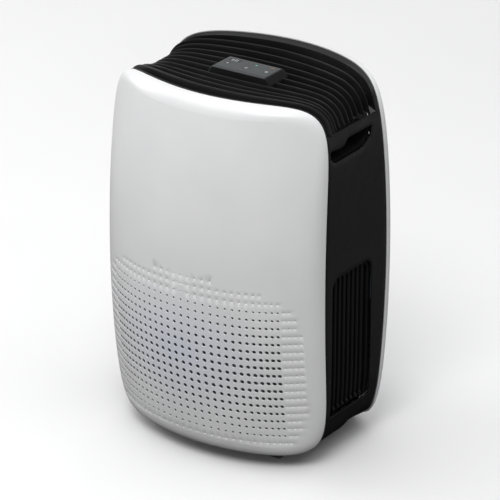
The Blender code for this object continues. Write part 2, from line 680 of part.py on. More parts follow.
# ---------------------------------------------------------------- filter
def make_rear_grille():
    """The louvred intake that carries the filter and pulls straight out of the back."""
    edge = 0.007
    columns = [-FILTER_HALF_WIDTH, -FILTER_HALF_WIDTH + edge]
    bays, rib = 4, 0.0015
    for i in range(1, bays):
        middle = mix(-FILTER_HALF_WIDTH, FILTER_HALF_WIDTH, i / bays)
        columns += [middle - rib, middle + rib]
    columns += [FILTER_HALF_WIDTH - edge, FILTER_HALF_WIDTH]
    slats = 11
    low, high = FILTER_Z[0] + edge, FILTER_Z[1] - edge
    rows = [FILTER_Z[0], low]
    for i in range(slats):
        a, b = mix(low, high, (i + 0.55) / slats), mix(low, high, (i + 1.0) / slats)
        rows += [a, b] if i < slats - 1 else []
    rows += [high, FILTER_Z[1]]

    def grid(sink):
        return [[(x, y_of(back_depth(x, z) - sink), z) for x in columns] for z in rows]

    open_cells = {(r, c) for r in range(1, len(rows) - 2, 2) for c in range(1, len(columns) - 2, 2)}
    grille = slab("rear_grille", grid(0.0), grid(0.0032), "black_satin", open_cells)
    low_z, high_z = FILTER_Z[0] - 0.0002, FILTER_Z[1] + 0.0002
    corner = rounded_rectangle(FILTER_HALF_WIDTH + 0.0002, low_z, high_z, OPENING_CORNER)
    return boolean(grille, prism("grille_outline", corner, place_y, 0.20, 0.40, "inner_grey"), "INTERSECT")


def make_filter():
    """A thin pleated mesh clipped to the inside of the rear grille."""
    half, low, high = FILTER_HALF_WIDTH - 0.004, FILTER_Z[0] + 0.004, FILTER_Z[1] - 0.004
    columns = [mix(-half, half, i / 16) for i in range(17)]
    rows = [mix(low, high, i / 4) for i in range(5)]

    def grid(sink):
        return [[(x, y_of(back_depth(x, z) - sink - 0.0012 * (i % 2)), z) for i, x in enumerate(columns)]
                for z in rows]

    return slab("filter_mesh", grid(0.0064), grid(0.0084), "filter_grey")


# ---------------------------------------------------------------- cooling circuit and fan
def finned_block(name, low, high, fins, slot):
    """A heat exchanger: many thin fins joined by a core, as one comb-shaped prism."""
    (x0, d0, z0), (x1, d1, z1) = low, high
    pitch = (x1 - x0) / fins
    core, fin = (d1 - d0) * 0.42, pitch * 0.55
    outline = []
    for i in range(fins):
        a = x0 + pitch * i + (pitch - fin) / 2
        outline += [(a, d0 + core), (a, d0), (a + fin, d0), (a + fin, d0 + core)]
    for i in reversed(range(fins)):
        a = x0 + pitch * i + (pitch - fin) / 2
        outline += [(a + fin, d1 - core), (a + fin, d1), (a, d1), (a, d1 - core)]
    return plate_with_holes(name, outline, [], z1 - z0, Matrix.Translation((0, y_of(0), (z0 + z1) / 2)), slot)


def make_heat_exchangers():
    finned_block("evaporator", (-0.112, 0.256, 0.2835), (0.112, 0.276, 0.462), 16, "fin_aluminium")
    finned_block("condenser", (-0.112, 0.228, 0.2835), (0.112, 0.250, 0.462), 16, "fin_aluminium")
    outline = rounded_rectangle(0.118, y_of(0.222), y_of(0.282), 0.006, 2)
    drain = [(a, y_of(0.252) + b) for a, b in circle(0.006, 12)]
    floor, top = 0.2600, 0.2832
    inside = rounded_rectangle(0.1155, y_of(0.2245), y_of(0.2795), 0.004, 2)
    tray = loft("drip_tray", [[(a, b, floor) for a, b in outline], [(a, b, top) for a, b in outline],
                              [(a, b, top) for a, b in inside], [(a, b, floor + 0.0025) for a, b in inside]],
                "inner_grey")
    cutter = prism("drain_hole_cutter", drain, place_z, floor - 0.01, floor + 0.01, "inner_grey")
    return boolean(tray, cutter, "DIFFERENCE")


def make_fan():
    cx, depth, cz = FAN_CENTRE
    front, back = depth - 0.034, depth + 0.034
    skin = 0.002
    right, left, top = cx + FAN_RADIUS + 0.026, cx - FAN_RADIUS - 0.012, 0.486

    def housing(grow):
        """Rounded below, straight sides up to the duct's mouth."""
        points = [(right + grow, top), (left - grow, top)]
        for i in range(17):
            angle = math.pi + math.pi * i / 16
            reach = mix(cx - left, right - cx, i / 16) + grow
            points.append((cx + reach * math.cos(angle), cz - 0.004 + reach * math.sin(angle)))
        return points

    scroll = prism("fan_scroll", housing(skin), place_y, front - skin, back + skin, "inner_grey")
    inside = [(x, z if z < top else top + 0.02) for x, z in housing(0.0)]
    hollow = prism("scroll_hollow", inside, place_y, front, back, "inner_grey")
    intake = turned("scroll_intake", [(0.058, back - 0.01), (0.058, back + 0.01)], "inner_grey", "Y",
                    (cx, y_of(0), cz), 28)
    shaft_hole = turned("scroll_shaft_hole", [(0.010, front - 0.01), (0.010, front + 0.01)], "inner_grey",
                        "Y", (cx, y_of(0), cz), 16)
    for cutter in (hollow, intake, shaft_hole):
        boolean(scroll, cutter, "DIFFERENCE")

    points, faces = [], []
    blades, inner_r, outer_r = 14, 0.060, FAN_RADIUS
    hub = turned("fan_impeller", [(0.0110, -0.020), (0.0110, -0.0268), (outer_r, -0.0268), (outer_r, -0.0245),
                                  (0.018, -0.0245), (0.014, -0.004), (0.0043, -0.004), (0.0043, -0.020)],
                 "inner_grey", "Y", (cx, y_of(depth), cz), 28, wrap=True)
    for k in range(blades):
        turn = math.tau * k / blades
        b = len(points)
        for y in (-0.0250, 0.0262):
            for r, lean, half in ((inner_r, 0.0, 0.0009), (outer_r - 0.0006, 0.20, 0.0009)):
                for sign in (-1, 1):
                    angle = turn + lean + sign * half / r
                    points.append((cx + r * math.cos(angle), y_of(depth) + y, cz + r * math.sin(angle)))
        faces += [(b, b + 1, b + 3, b + 2), (b + 4, b + 6, b + 7, b + 5), (b, b + 4, b + 5, b + 1),
                  (b + 2, b + 3, b + 7, b + 6), (b, b + 2, b + 6, b + 4), (b + 1, b + 5, b + 7, b + 3)]
    blades_mesh = add_object("impeller_blades", points, faces, "inner_grey", (cx, y_of(depth), cz))
    rim = turned("impeller_rim", [(0.0585, 0.0250), (0.0835, 0.0250), (0.0835, 0.0275), (0.0585, 0.0275)],
                 "inner_grey", "Y", (cx, y_of(depth), cz), 28, wrap=True)
    boolean(hub, blades_mesh, "UNION")
    boolean(hub, rim, "UNION")

    motor = [(0.0040, -0.001), (0.0040, -0.0363), (0.030, -0.0363), (0.034, -0.0425), (0.034, -0.075),
             (0.028, -0.079)]
    turned("fan_motor", motor, "motor_steel", "Y", (cx, y_of(depth), cz), 24)


def make_compressor():
    x, depth = COMPRESSOR
    y, floor = y_of(depth), PAN_Z + 0.003
    r = COMPRESSOR_RADIUS
    foot_z = floor + 0.008
    feet = [(x + a, y + b) for a, b in circle(FOOT_CIRCLE, 3, math.radians(90))]
    can = [(r * 0.60, foot_z), (0.058, foot_z), (0.058, foot_z + 0.003), (r, foot_z + 0.003),
           (r, foot_z + 0.150), (r * 0.93, foot_z + 0.163), (r * 0.70, foot_z + 0.174),
           (r * 0.30, foot_z + 0.179)]
    hull = turned("compressor", can, "compressor_black", "Z", (x, y, 0), 28)
    for index, (fx, fy) in enumerate(feet):
        boolean(hull, turned(f"foot_cutter_{index}", [(0.0032, foot_z - 0.01), (0.0032, foot_z + 0.01)],
                             "rubber_black", "Z", (fx, fy, 0), 10), "DIFFERENCE")
        grommet = [(0.0062, floor + GAP), (0.0062, foot_z - GAP), (0.0028, foot_z - GAP),
                   (0.0028, foot_z + 0.0045), (0.0022, foot_z + 0.0060)]
        turned(f"compressor_grommet_{index + 1}", grommet, "rubber_black", "Z", (fx, fy, 0), 12)
    ax, ay = x - 0.072, y
    turned("accumulator", [(0.006, foot_z + 0.022), (0.0165, foot_z + 0.030), (0.0165, foot_z + 0.118),
                           (0.006, foot_z + 0.128)], "compressor_black", "Z", (ax, ay, 0), 16)
    top = foot_z + 0.1795
    tube("discharge_pipe", [(x, y, top), (x, y, top + 0.012), (x + 0.012, y, top + 0.024),
                            (0.100, y_of(0.150), top + 0.034), (0.1215, y_of(0.175), 0.280),
                            (0.1240, y_of(0.215), 0.300), (0.1235, y_of(0.239), 0.325),
                            (0.1125, y_of(0.239), 0.335)], 0.003, "copper")
    acc_top = foot_z + 0.1285
    tube("suction_pipe", [(ax, ay, acc_top), (ax, ay, acc_top + 0.030), (-0.060, y_of(0.150), 0.245),
                          (-0.105, y_of(0.165), 0.262), (-0.1230, y_of(0.200), 0.290),
                          (-0.1240, y_of(0.250), 0.310), (-0.1225, y_of(0.266), 0.325),
                          (-0.1125, y_of(0.266), 0.335)], 0.0035, "copper")
    turned("run_capacitor", [(0.015, PAN_Z + 0.003 + GAP), (0.0175, PAN_Z + 0.006), (0.0175, PAN_Z + 0.068),
                             (0.015, PAN_Z + 0.071)], "inner_grey", "Z", (-0.090, y_of(0.155), 0), 18)


# ---------------------------------------------------------------- water tank
def tank_ring(z, inset, lift=0.0):
    """A ring of the tank at height z: three flat sides, and a rear side that follows the bowed back."""
    half = TANK_HALF_WIDTH - inset
    front = TANK_FRONT + inset
    corner = 0.010
    points = [(-half + corner, front), (-half, front + corner)]
    for i in range(13):
        x = mix(-half, half, i / 12)
        points.append((x, back_depth(x, z) - inset))
    points += [(half, front + corner), (half - corner, front)]
    return [(x, y_of(d), z + lift) for x, d in points]


def make_tank():
    low, high = TANK_Z
    rings = [tank_ring(low, 0.004), tank_ring(low + 0.005, 0.0)]
    rings += [tank_ring(mix(low, high, share), 0.0) for share in (0.3, 0.6, 0.8)]
    rings += [tank_ring(high - 0.0035, 0.0), tank_ring(high - 0.0035, WALL)]
    rings += [tank_ring(mix(low, high, share), WALL) for share in (0.8, 0.6, 0.3)]
    rings += [tank_ring(low + 0.006, WALL), tank_ring(low + WALL, 0.006)]
    tank = loft("water_tank", rings, "tank_blue")
    y_pin = handle_pin_y()
    for side in (-1, 1):
        near, far = sorted((side * (TANK_HANDLE_HALF + 0.0006), side * (TANK_HANDLE_HALF + 0.0066)))
        root = y_of(back_depth(TANK_HANDLE_HALF, TANK_HANDLE_Z) - 0.0019)
        lug = box(f"lug_{side + 1}", (near, root, TANK_HANDLE_Z - 0.0055),
                  (far, y_pin + 0.0034, TANK_HANDLE_Z + 0.0055), "tank_blue")
        bore = turned(f"lug_bore_{side + 1}", [(0.0024, near - 0.001), (0.0024, far + 0.001)], "tank_blue",
                      "X", (0, y_pin, TANK_HANDLE_Z), 12)
        boolean(tank, lug, "UNION")
        boolean(tank, bore, "DIFFERENCE")
    z0 = high - 0.0032
    lid_ring = [(x, y) for x, y, _ in tank_ring(high, 0.0)]
    inlet = [(a, y_of(0.252) + b) for a, b in circle(0.012, 16)][::-1]
    feeler = [(a, y_of(0.228) + b) for a, b in rounded_rectangle(0.010, -0.006, 0.006, 0.002, 1)][::-1]
    feeler = [(a - 0.06, b) for a, b in feeler]
    place = Matrix.Translation((0, 0, z0 + 0.0015))
    lid = plate_with_holes("tank_lid", lid_ring, [inlet, feeler], 0.003, place, "inner_grey")
    x, depth, z = FLOAT_PIVOT
    for side in (-1, 1):
        near, far = sorted((x + side * 0.0048, x + side * 0.0078))
        lug = box(f"float_lug_{side + 1}", (near, y_of(depth) - 0.004, z - 0.004),
                  (far, y_of(depth) + 0.004, z0 + 0.001), "inner_grey")
        bore = turned(f"float_bore_{side + 1}", [(0.0022, near - 0.001), (0.0022, far + 0.001)], "inner_grey",
                      "X", (0, y_of(depth), z), 12)
        boolean(lid, lug, "UNION")
        boolean(lid, bore, "DIFFERENCE")
    return tank


def handle_pin_y():
    return y_of(back_depth(0.0, TANK_HANDLE_Z) + 0.0050)


def make_tank_handle():
    """A bail that lies against the tank's face and swings out about its upper edge."""
    half, drop, wire, bar = TANK_HANDLE_HALF, 0.030, 0.0035, 0.011
    y_bar, z = handle_pin_y(), TANK_HANDLE_Z
    outline = [(-half, 0.004), (-half, -drop), (half, -drop), (half, 0.004), (half - bar, 0.004),
               (half - bar, bar - drop), (bar - half, bar - drop), (bar - half, 0.004)]
    rings = [[(a, y_bar + h, z + b) for a, b in outline] for h in (-wire, wire)]
    count = len(outline)
    faces = ring_faces(0, count, count) + [tuple(range(count)), tuple(range(count, 2 * count))]
    bail = add_object("tank_handle", rings[0] + rings[1], faces, "black_satin", (0, y_bar, z))
    bevelled(bail, 0.0012, 2)
    for side in (-1, 1):
        ends = sorted((side * (half - 0.004), side * (half + 0.0062)))
        pin = turned(f"handle_pin_{side + 1}", [(0.0020, ends[0]), (0.0020, ends[1])], "black_satin", "X",
                     (0, y_bar, z), 10)
        boolean(bail, pin, "UNION")
    return bail


def make_float():
    """A foam block on a drop arm, hinged on a pin between the lid's lugs."""
    x, depth, z = FLOAT_PIVOT
    y = y_of(depth)
    body = bevelled(box("tank_float", (x - 0.016, y + 0.004, z - 0.046), (x + 0.016, y + 0.048, z - 0.026),
                        "float_white"), 0.003, 2)
    arm = box("float_arm", (x - 0.004, y - 0.003, z - 0.032), (x + 0.004, y + 0.008, z + 0.0035),
              "float_white")
    pin = turned("float_pin", [(0.0018, x - 0.0076), (0.0018, x + 0.0076)], "float_white", "X", (0, y, z), 10)
    boolean(body, arm, "UNION")
    return boolean(body, pin, "UNION")


# ---------------------------------------------------------------- casters and small parts
def make_casters():
    def across(a, b, h):
        return h, a, b

    for index, (x, depth) in enumerate(caster_places(), 1):
        y = y_of(depth)
        top = PAN_Z - GAP
        axle_y, axle_z = y - CASTER_TRAIL, WHEEL_RADIUS
        cheek_in, cheek_out = WHEEL_WIDTH / 2 + 0.0008, WHEEL_WIDTH / 2 + 0.0026
        crown = turned(f"caster_fork_{index}", [(0.0135, top - 0.0024), (0.0135, top), (0.0030, top),
                                                (0.0030, PAN_Z + 0.0028)], "black_satin", "Z", (x, y, 0), 12)
        for side in (-1, 1):
            xs = sorted((x + side * cheek_in, x + side * cheek_out))
            cheek = [(y + 0.0085, top - 0.001), (axle_y - 0.0045, top - 0.001),
                     (axle_y - 0.0055, axle_z - 0.003), (axle_y, axle_z - 0.0062),
                     (axle_y + 0.0055, axle_z - 0.003)]
            blade = prism(f"cheek_{index}_{side + 1}", cheek, across, xs[0], xs[1], "black_satin")
            boolean(crown, blade, "UNION")
        pin = turned(f"caster_pin_{index}", [(0.0020, -cheek_out), (0.0020, cheek_out)], "black_satin", "X",
                     (x, axle_y, axle_z), 10)
        boolean(crown, pin, "UNION")
        half = WHEEL_WIDTH / 2
        turned(f"caster_wheel_{index}", [(0.0022, -half), (0.0135, -half), (WHEEL_RADIUS, -half + 0.0025),
                                         (WHEEL_RADIUS, half - 0.0025), (0.0135, half), (0.0022, half)],
               "rubber_black", "X", (x, axle_y, axle_z), 20, wrap=True)


def make_back_fittings():
    for index, (x, z) in enumerate(SCREWS, 1):
        out = back_depth(abs(x), z) - 0.0004
        turned(f"back_screw_{index}", [(SCREW_HEAD, out), (SCREW_HEAD, out - 0.0022), (0.0015, out - 0.0022),
                                       (0.0015, out - 0.014)], "screw_steel", "Y", (x, y_of(0), z), 12)
    out = back_depth(GLAND_X, GLAND_Z)
    turned("cord_gland", [(0.0042, out - 0.012), (0.0042, out + 0.0030), (0.0075, out + 0.0030),
                          (GLAND_RADIUS, out + 0.0010), (GLAND_RADIUS, out - 0.012)], "rubber_black", "Y",
           (GLAND_X, y_of(0), GLAND_Z), 20, wrap=True)
    turned("drain_plug", [(0.0060, out + 0.0012), (0.0060, out + 0.0030), (GLAND_RADIUS, out + 0.0010),
                          (GLAND_RADIUS, out - 0.010), (0.0070, out - 0.013)], "rubber_black", "Y",
           (-GLAND_X, y_of(0), GLAND_Z), 20)
    bevelled(box("level_switch", (-0.070, y_of(0.222), TANK_Z[1] + 0.0012), (-0.050, y_of(0.234), 0.2455),
                 "inner_grey"), 0.0006, 1)
    bevelled(box("humidity_sensor", (0.052, y_of(0.2815), 0.480), (0.064, y_of(0.2855), 0.498), "inner_grey"),
             0.0006, 1)


# ---------------------------------------------------------------- assembly
def main():
    for obj in list(bpy.data.objects):
        bpy.data.objects.remove(obj)
    make_front_panel()
    make_front_frame()
    make_back_shell()
    for name, side in (("right", 1), ("left", -1)):
        make_side_panel(f"side_panel_{name}", side)
        make_handle_cup(f"handle_cup_{name}", side)
        make_side_grille(f"side_grille_{name}", side)
    make_top_cover()
    make_base()
    make_base_pan()
    make_deck()
    make_controls()
    make_rear_grille()
    make_filter()
    make_heat_exchangers()
    make_fan()
    make_compressor()
    make_tank()
    make_tank_handle()
    make_float()
    make_casters()
    make_back_fittings()


main()
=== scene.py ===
"""Looks for the dehumidifier: finely modelled shells, ribs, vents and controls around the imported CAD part,
procedural plastics and metals, a pale floor, studio light and the camera. Metres, +Z up, front towards -Y."""

import json
import math

import bmesh
import bpy
from mathutils import Matrix, Vector
from mathutils.geometry import delaunay_2d_cdt


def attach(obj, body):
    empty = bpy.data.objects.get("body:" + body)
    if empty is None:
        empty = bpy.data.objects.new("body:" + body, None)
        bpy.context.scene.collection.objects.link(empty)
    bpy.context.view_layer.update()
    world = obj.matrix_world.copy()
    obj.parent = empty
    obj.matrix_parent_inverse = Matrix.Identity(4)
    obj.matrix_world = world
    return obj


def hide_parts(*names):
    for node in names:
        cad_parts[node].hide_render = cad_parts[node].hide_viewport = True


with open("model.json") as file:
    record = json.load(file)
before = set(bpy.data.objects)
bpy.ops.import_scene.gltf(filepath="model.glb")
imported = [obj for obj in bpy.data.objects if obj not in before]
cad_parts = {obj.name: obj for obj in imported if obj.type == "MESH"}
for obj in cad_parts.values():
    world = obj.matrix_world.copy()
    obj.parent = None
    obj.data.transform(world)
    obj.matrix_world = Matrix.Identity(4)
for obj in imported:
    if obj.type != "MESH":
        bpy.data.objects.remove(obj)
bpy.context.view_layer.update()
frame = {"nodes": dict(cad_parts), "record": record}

# ---------------------------------------------------------------- driving dimensions of the body
CENTRE_Z = 0.278            # height of the widest point of both bowed shells
DEPTH = 0.337               # foremost to rearmost point of the shells
HANDLE_PROUD = 0.00635      # how far the tank's bail stands out behind them
FRONT_HALF_WIDTH, FRONT_RISE, FRONT_DROP, FRONT_SQUARENESS = 0.1791, 0.2687, 0.2618, 8.65
REAR_HALF_WIDTH, REAR_RISE, REAR_DROP, REAR_SQUARENESS = 0.1809, 0.2741, 0.2648, 8.0
BOW_X, BOW_Z = 0.180, 0.265
WALL = 0.0025
REVEAL = 0.0009             # how far the black body sits inside the white shells' outline
FRONT_STACK, SEAM_GAP = 0.0042, 0.0009
RIB_END_Z, BASE_SEAM_Z, BASE_FLAT_Z = 0.5026, 0.0725, 0.0245
RIB_COUNT, FIRST_RIB, RIB_PITCH = 10, 0.110, 0.0803
GROOVE_DEPTH, TOP_DIP = 0.010, 0.0072
VENT = (0.114, 0.212, BASE_SEAM_Z + 0.001, 0.2885)     # depth from, to; z from, to
VENT_CORNER, VENT_RIBS = 0.018, 7
TANK_HALF_WIDTH, TANK_Z = 0.124, (0.040, 0.234)
FILTER_HALF_WIDTH, FILTER_Z = 0.130, (0.262, 0.478)
OPENING_CLEARANCE, OPENING_CORNER = 0.0012, 0.016
GLAND_X, GLAND_Z, GLAND_RADIUS = 0.1455, 0.110, 0.010
SCREWS, SCREW_HEAD = ((0.146, 0.248), (-0.146, 0.248), (0.146, 0.455), (-0.146, 0.455)), 0.0038
CONTROL_CENTRE_DEPTH, CONTROL_TOP_Z, CONTROL_HALF = 0.1665, 0.5503, (0.0435, 0.0203)
CONTROL_CUT = (0.0535, 0.1428, 0.1918)                 # opening in the ribs: half width, depth from, to
BUTTONS = (("timer", -0.0325, -0.003), ("power", 0.0005, -0.0048), ("mode", 0.033, -0.0027))
DISPLAY, LED = (-0.0285, 0.0115), (0.0073, 0.011)
CASTERS, CASTER_WELL, PAN_Z = ((0.101, 0.0995), (0.110, 0.228)), 0.0275, 0.0365
WHEEL_RADIUS, WHEEL_WIDTH, CASTER_TRAIL = 0.0135, 0.016, 0.006
DOT_TOP_Z, DOT_ROW_PITCH, DOT_COLUMN_PITCH = 0.2572, 0.01243, 0.01198
DOT_REACH, DOT_WAIST_ROW, DOT_ROWS_UP, DOT_ROWS_DOWN = 18.6, 7.5, 10.54, 12.64     # in columns and rows
HOLE_RADIUS, DIMPLE_RADIUS = 0.0030, 0.00135
SIDES = (("right", 1), ("left", -1))


# ---------------------------------------------------------------- shared shape of the body
def y_of(depth):
    """World y of a distance back from the foremost point."""
    return depth - (DEPTH + HANDLE_PROUD) / 2


def face_depth(x, z):
    u, w = x / BOW_X, (z - CENTRE_Z) / BOW_Z
    return 0.054 * u**2 + 0.021 * u**4 + 0.031 * w**2 + 0.0023 * w - 0.0018 * u**2 * w


def front_seam_depth(x, z):
    u, w = x / BOW_X, (z - CENTRE_Z) / BOW_Z
    return 0.0393 + 0.0545 * u**2 + 0.0146 * w**2 - 0.0009 * w


def rear_seam_depth(x, z):
    u, w = x / BOW_X, (z - CENTRE_Z) / BOW_Z
    return 0.322 - 0.0714 * u**2 - 0.0283 * w**2


def back_depth(x, z):
    return rear_seam_depth(x, z) + DEPTH - 0.322


def mix(a, b, t):
    return a + (b - a) * t


def ease(value, low, high):
    """0 below low, 1 above high, smooth between."""
    share = min(max((value - low) / (high - low), 0.0), 1.0)
    return share * share * (3 - 2 * share)


def outline_sizes(t, inset=0.0):
    """Half width, rise, drop and squareness of the outline at fraction t of the depth."""
    return (
        mix(FRONT_HALF_WIDTH, REAR_HALF_WIDTH, t) - inset,
        mix(FRONT_RISE, REAR_RISE, t) - inset,
        mix(FRONT_DROP, REAR_DROP, t) - inset,
        mix(FRONT_SQUARENESS, REAR_SQUARENESS, t),
    )


def outline_point(direction, t, inset=0.0):
    half, rise, drop, n = outline_sizes(t, inset)
    p, q = direction
    reach = (abs(p) ** n + abs(q) ** n) ** (-1 / n)
    return half * p * reach, CENTRE_Z + (rise if q > 0 else drop) * q * reach


def side_x(z, t, inset=0.0):
    half, rise, drop, n = outline_sizes(t, inset)
    share = abs(z - CENTRE_Z) / (rise if z > CENTRE_Z else drop)
    return half * (1 - share**n) ** (1 / n)


def body_depth(x, z, t):
    return mix(front_seam_depth(x, z) + FRONT_STACK, rear_seam_depth(x, z) - SEAM_GAP, t)


def fraction_at(depth, z):
    """The fraction of the body's depth at which its flank is this far back."""
    t = 0.5
    for _ in range(4):
        x = side_x(z, t)
        t = (depth - body_depth(x, z, 0)) / (body_depth(x, z, 1) - body_depth(x, z, 0))
    return t


def quarter(side_steps, end_steps):
    """Directions from +X round to +Z, closer together towards the corner."""
    rise = [1 - (1 - i / side_steps) ** 1.5 for i in range(side_steps)]
    run = [1 - (1 - i / end_steps) ** 1.5 for i in range(1, end_steps)]
    return [(1, s) for s in rise] + [(1, 1)] + [(s, 1) for s in run[::-1]]


def round_outline(side_steps=26, end_steps=22):
    """Directions all the way round, from +X over the top."""
    corner = quarter(side_steps, end_steps)
    over_top = corner + [(0, 1)] + [(-p, q) for p, q in corner[:0:-1]]
    return over_top + [(-p, -q) for p, q in over_top]


# ---------------------------------------------------------------- materials
def nodes_of(name):
    made = bpy.data.materials.new(name)
    made.use_nodes = True
    return made, made.node_tree, made.node_tree.nodes["Principled BSDF"]


def noise(tree, scale, detail=3.0, stretch=(1, 1, 1)):
    """A noise texture in the object's own space; returns its factor socket."""
    place = tree.nodes.new("ShaderNodeTexCoord")
    squeeze = tree.nodes.new("ShaderNodeMapping")
    squeeze.inputs["Scale"].default_value = stretch
    texture = tree.nodes.new("ShaderNodeTexNoise")
    texture.inputs["Scale"].default_value = scale
    texture.inputs["Detail"].default_value = detail
    tree.links.new(place.outputs["Object"], squeeze.inputs["Vector"])
    tree.links.new(squeeze.outputs["Vector"], texture.inputs["Vector"])
    return texture.outputs["Fac"]


def ramp(tree, factor, low, high, ends=(0.35, 0.65)):
    """A colour ramp between two colours or two greys."""
    node = tree.nodes.new("ShaderNodeValToRGB")
    for element, place, value in zip(node.color_ramp.elements, ends, (low, high)):
        element.position = place
        element.color = (*value, 1) if isinstance(value, tuple) else (value, value, value, 1)
    tree.links.new(factor, node.inputs["Fac"])
    return node.outputs["Color"]


def bump(tree, shader, factor, strength, distance):
    node = tree.nodes.new("ShaderNodeBump")
    node.inputs["Strength"].default_value = strength
    node.inputs["Distance"].default_value = distance
    tree.links.new(factor, node.inputs["Height"])
    tree.links.new(node.outputs["Normal"], shader.inputs["Normal"])


def moulded(name, low, high, roughness, grain=900.0, grain_strength=0.15, metallic=0.0, coat=0.0, cloud=9.0,
            specular=0.5):
    """Moulded or painted surface: slow colour drift, patchy gloss and a fine grain."""
    made, tree, shader = nodes_of(name)
    tree.links.new(ramp(tree, noise(tree, cloud), low, high), shader.inputs["Base Color"])
    tree.links.new(ramp(tree, noise(tree, cloud * 6, 5.0), *roughness), shader.inputs["Roughness"])
    shader.inputs["Metallic"].default_value = metallic
    shader.inputs["Specular IOR Level"].default_value = specular
    shader.inputs["Coat Weight"].default_value = coat
    shader.inputs["Coat Roughness"].default_value = 0.12
    bump(tree, shader, noise(tree, grain, 2.0), grain_strength, 0.0001)
    return made


def brushed(name, low, high, stretch, roughness=(0.24, 0.42), strength=0.25):
    """Drawn or brushed metal, its grain drawn out along one axis."""
    made, tree, shader = nodes_of(name)
    streaks = noise(tree, 260.0, 4.0, stretch)
    tree.links.new(ramp(tree, streaks, low, high), shader.inputs["Base Color"])
    tree.links.new(ramp(tree, streaks, *roughness), shader.inputs["Roughness"])
    shader.inputs["Metallic"].default_value = 1.0
    bump(tree, shader, streaks, strength, 0.00005)
    return made


def white_shell():
    """Satin white with a slight cool cast round the middle of the perforations."""
    made = moulded("white_gloss", (0.775, 0.778, 0.785), (0.815, 0.817, 0.822), (0.30, 0.38), 700.0, 0.05,
                   coat=0.12)
    tree, shader = made.node_tree, made.node_tree.nodes["Principled BSDF"]
    plain = shader.inputs["Base Color"].links[0].from_socket
    place = tree.nodes.new("ShaderNodeTexCoord")
    centre = tree.nodes.new("ShaderNodeMapping")
    centre.vector_type = "TEXTURE"
    centre.inputs["Location"].default_value = (-0.01, -0.17, 0.175)
    centre.inputs["Scale"].default_value = (0.14, 0.10, 0.10)
    ball = tree.nodes.new("ShaderNodeTexGradient")
    ball.gradient_type = "SPHERICAL"
    tree.links.new(place.outputs["Object"], centre.inputs["Vector"])
    tree.links.new(centre.outputs["Vector"], ball.inputs["Vector"])
    blend = tree.nodes.new("ShaderNodeMix")
    blend.data_type = "RGBA"
    blend.inputs["B"].default_value = (0.66, 0.69, 0.80, 1)
    tree.links.new(ramp(tree, ball.outputs["Fac"], 0.0, 0.75, (0.0, 1.0)), blend.inputs["Factor"])
    tree.links.new(plain, blend.inputs["A"])
    tree.links.new(blend.outputs["Result"], shader.inputs["Base Color"])
    return made


def woven_filter():
    """Fine black net: two sets of threads and soft dust."""
    made, tree, shader = nodes_of("filter_grey")
    place = tree.nodes.new("ShaderNodeTexCoord")
    heights = []
    for axis in ("X", "Z"):
        wave = tree.nodes.new("ShaderNodeTexWave")
        wave.bands_direction = axis
        wave.inputs["Scale"].default_value = 260.0
        tree.links.new(place.outputs["Object"], wave.inputs["Vector"])
        heights.append(wave.outputs["Fac"])
    top = tree.nodes.new("ShaderNodeMath")
    top.operation = "MAXIMUM"
    tree.links.new(heights[0], top.inputs[0])
    tree.links.new(heights[1], top.inputs[1])
    tree.links.new(ramp(tree, top.outputs["Value"], (0.015, 0.015, 0.017), (0.14, 0.14, 0.15)),
                   shader.inputs["Base Color"])
    tree.links.new(ramp(tree, noise(tree, 30.0), 0.75, 0.95), shader.inputs["Roughness"])
    bump(tree, shader, top.outputs["Value"], 0.6, 0.0003)
    return made


def smoke_tank():
    made = moulded("tank_blue", (0.20, 0.27, 0.34), (0.26, 0.34, 0.42), (0.10, 0.22), 300.0, 0.05, coat=0.3)
    made.node_tree.nodes["Principled BSDF"].inputs["Transmission Weight"].default_value = 0.35
    return made


def glow(name, colour, strength):
    made = moulded(name, tuple(c * 0.8 for c in colour), colour, (0.3, 0.4), 400.0, 0.05)
    shader = made.node_tree.nodes["Principled BSDF"]
    shader.inputs["Emission Color"].default_value = (*colour, 1)
    shader.inputs["Emission Strength"].default_value = strength
    return made


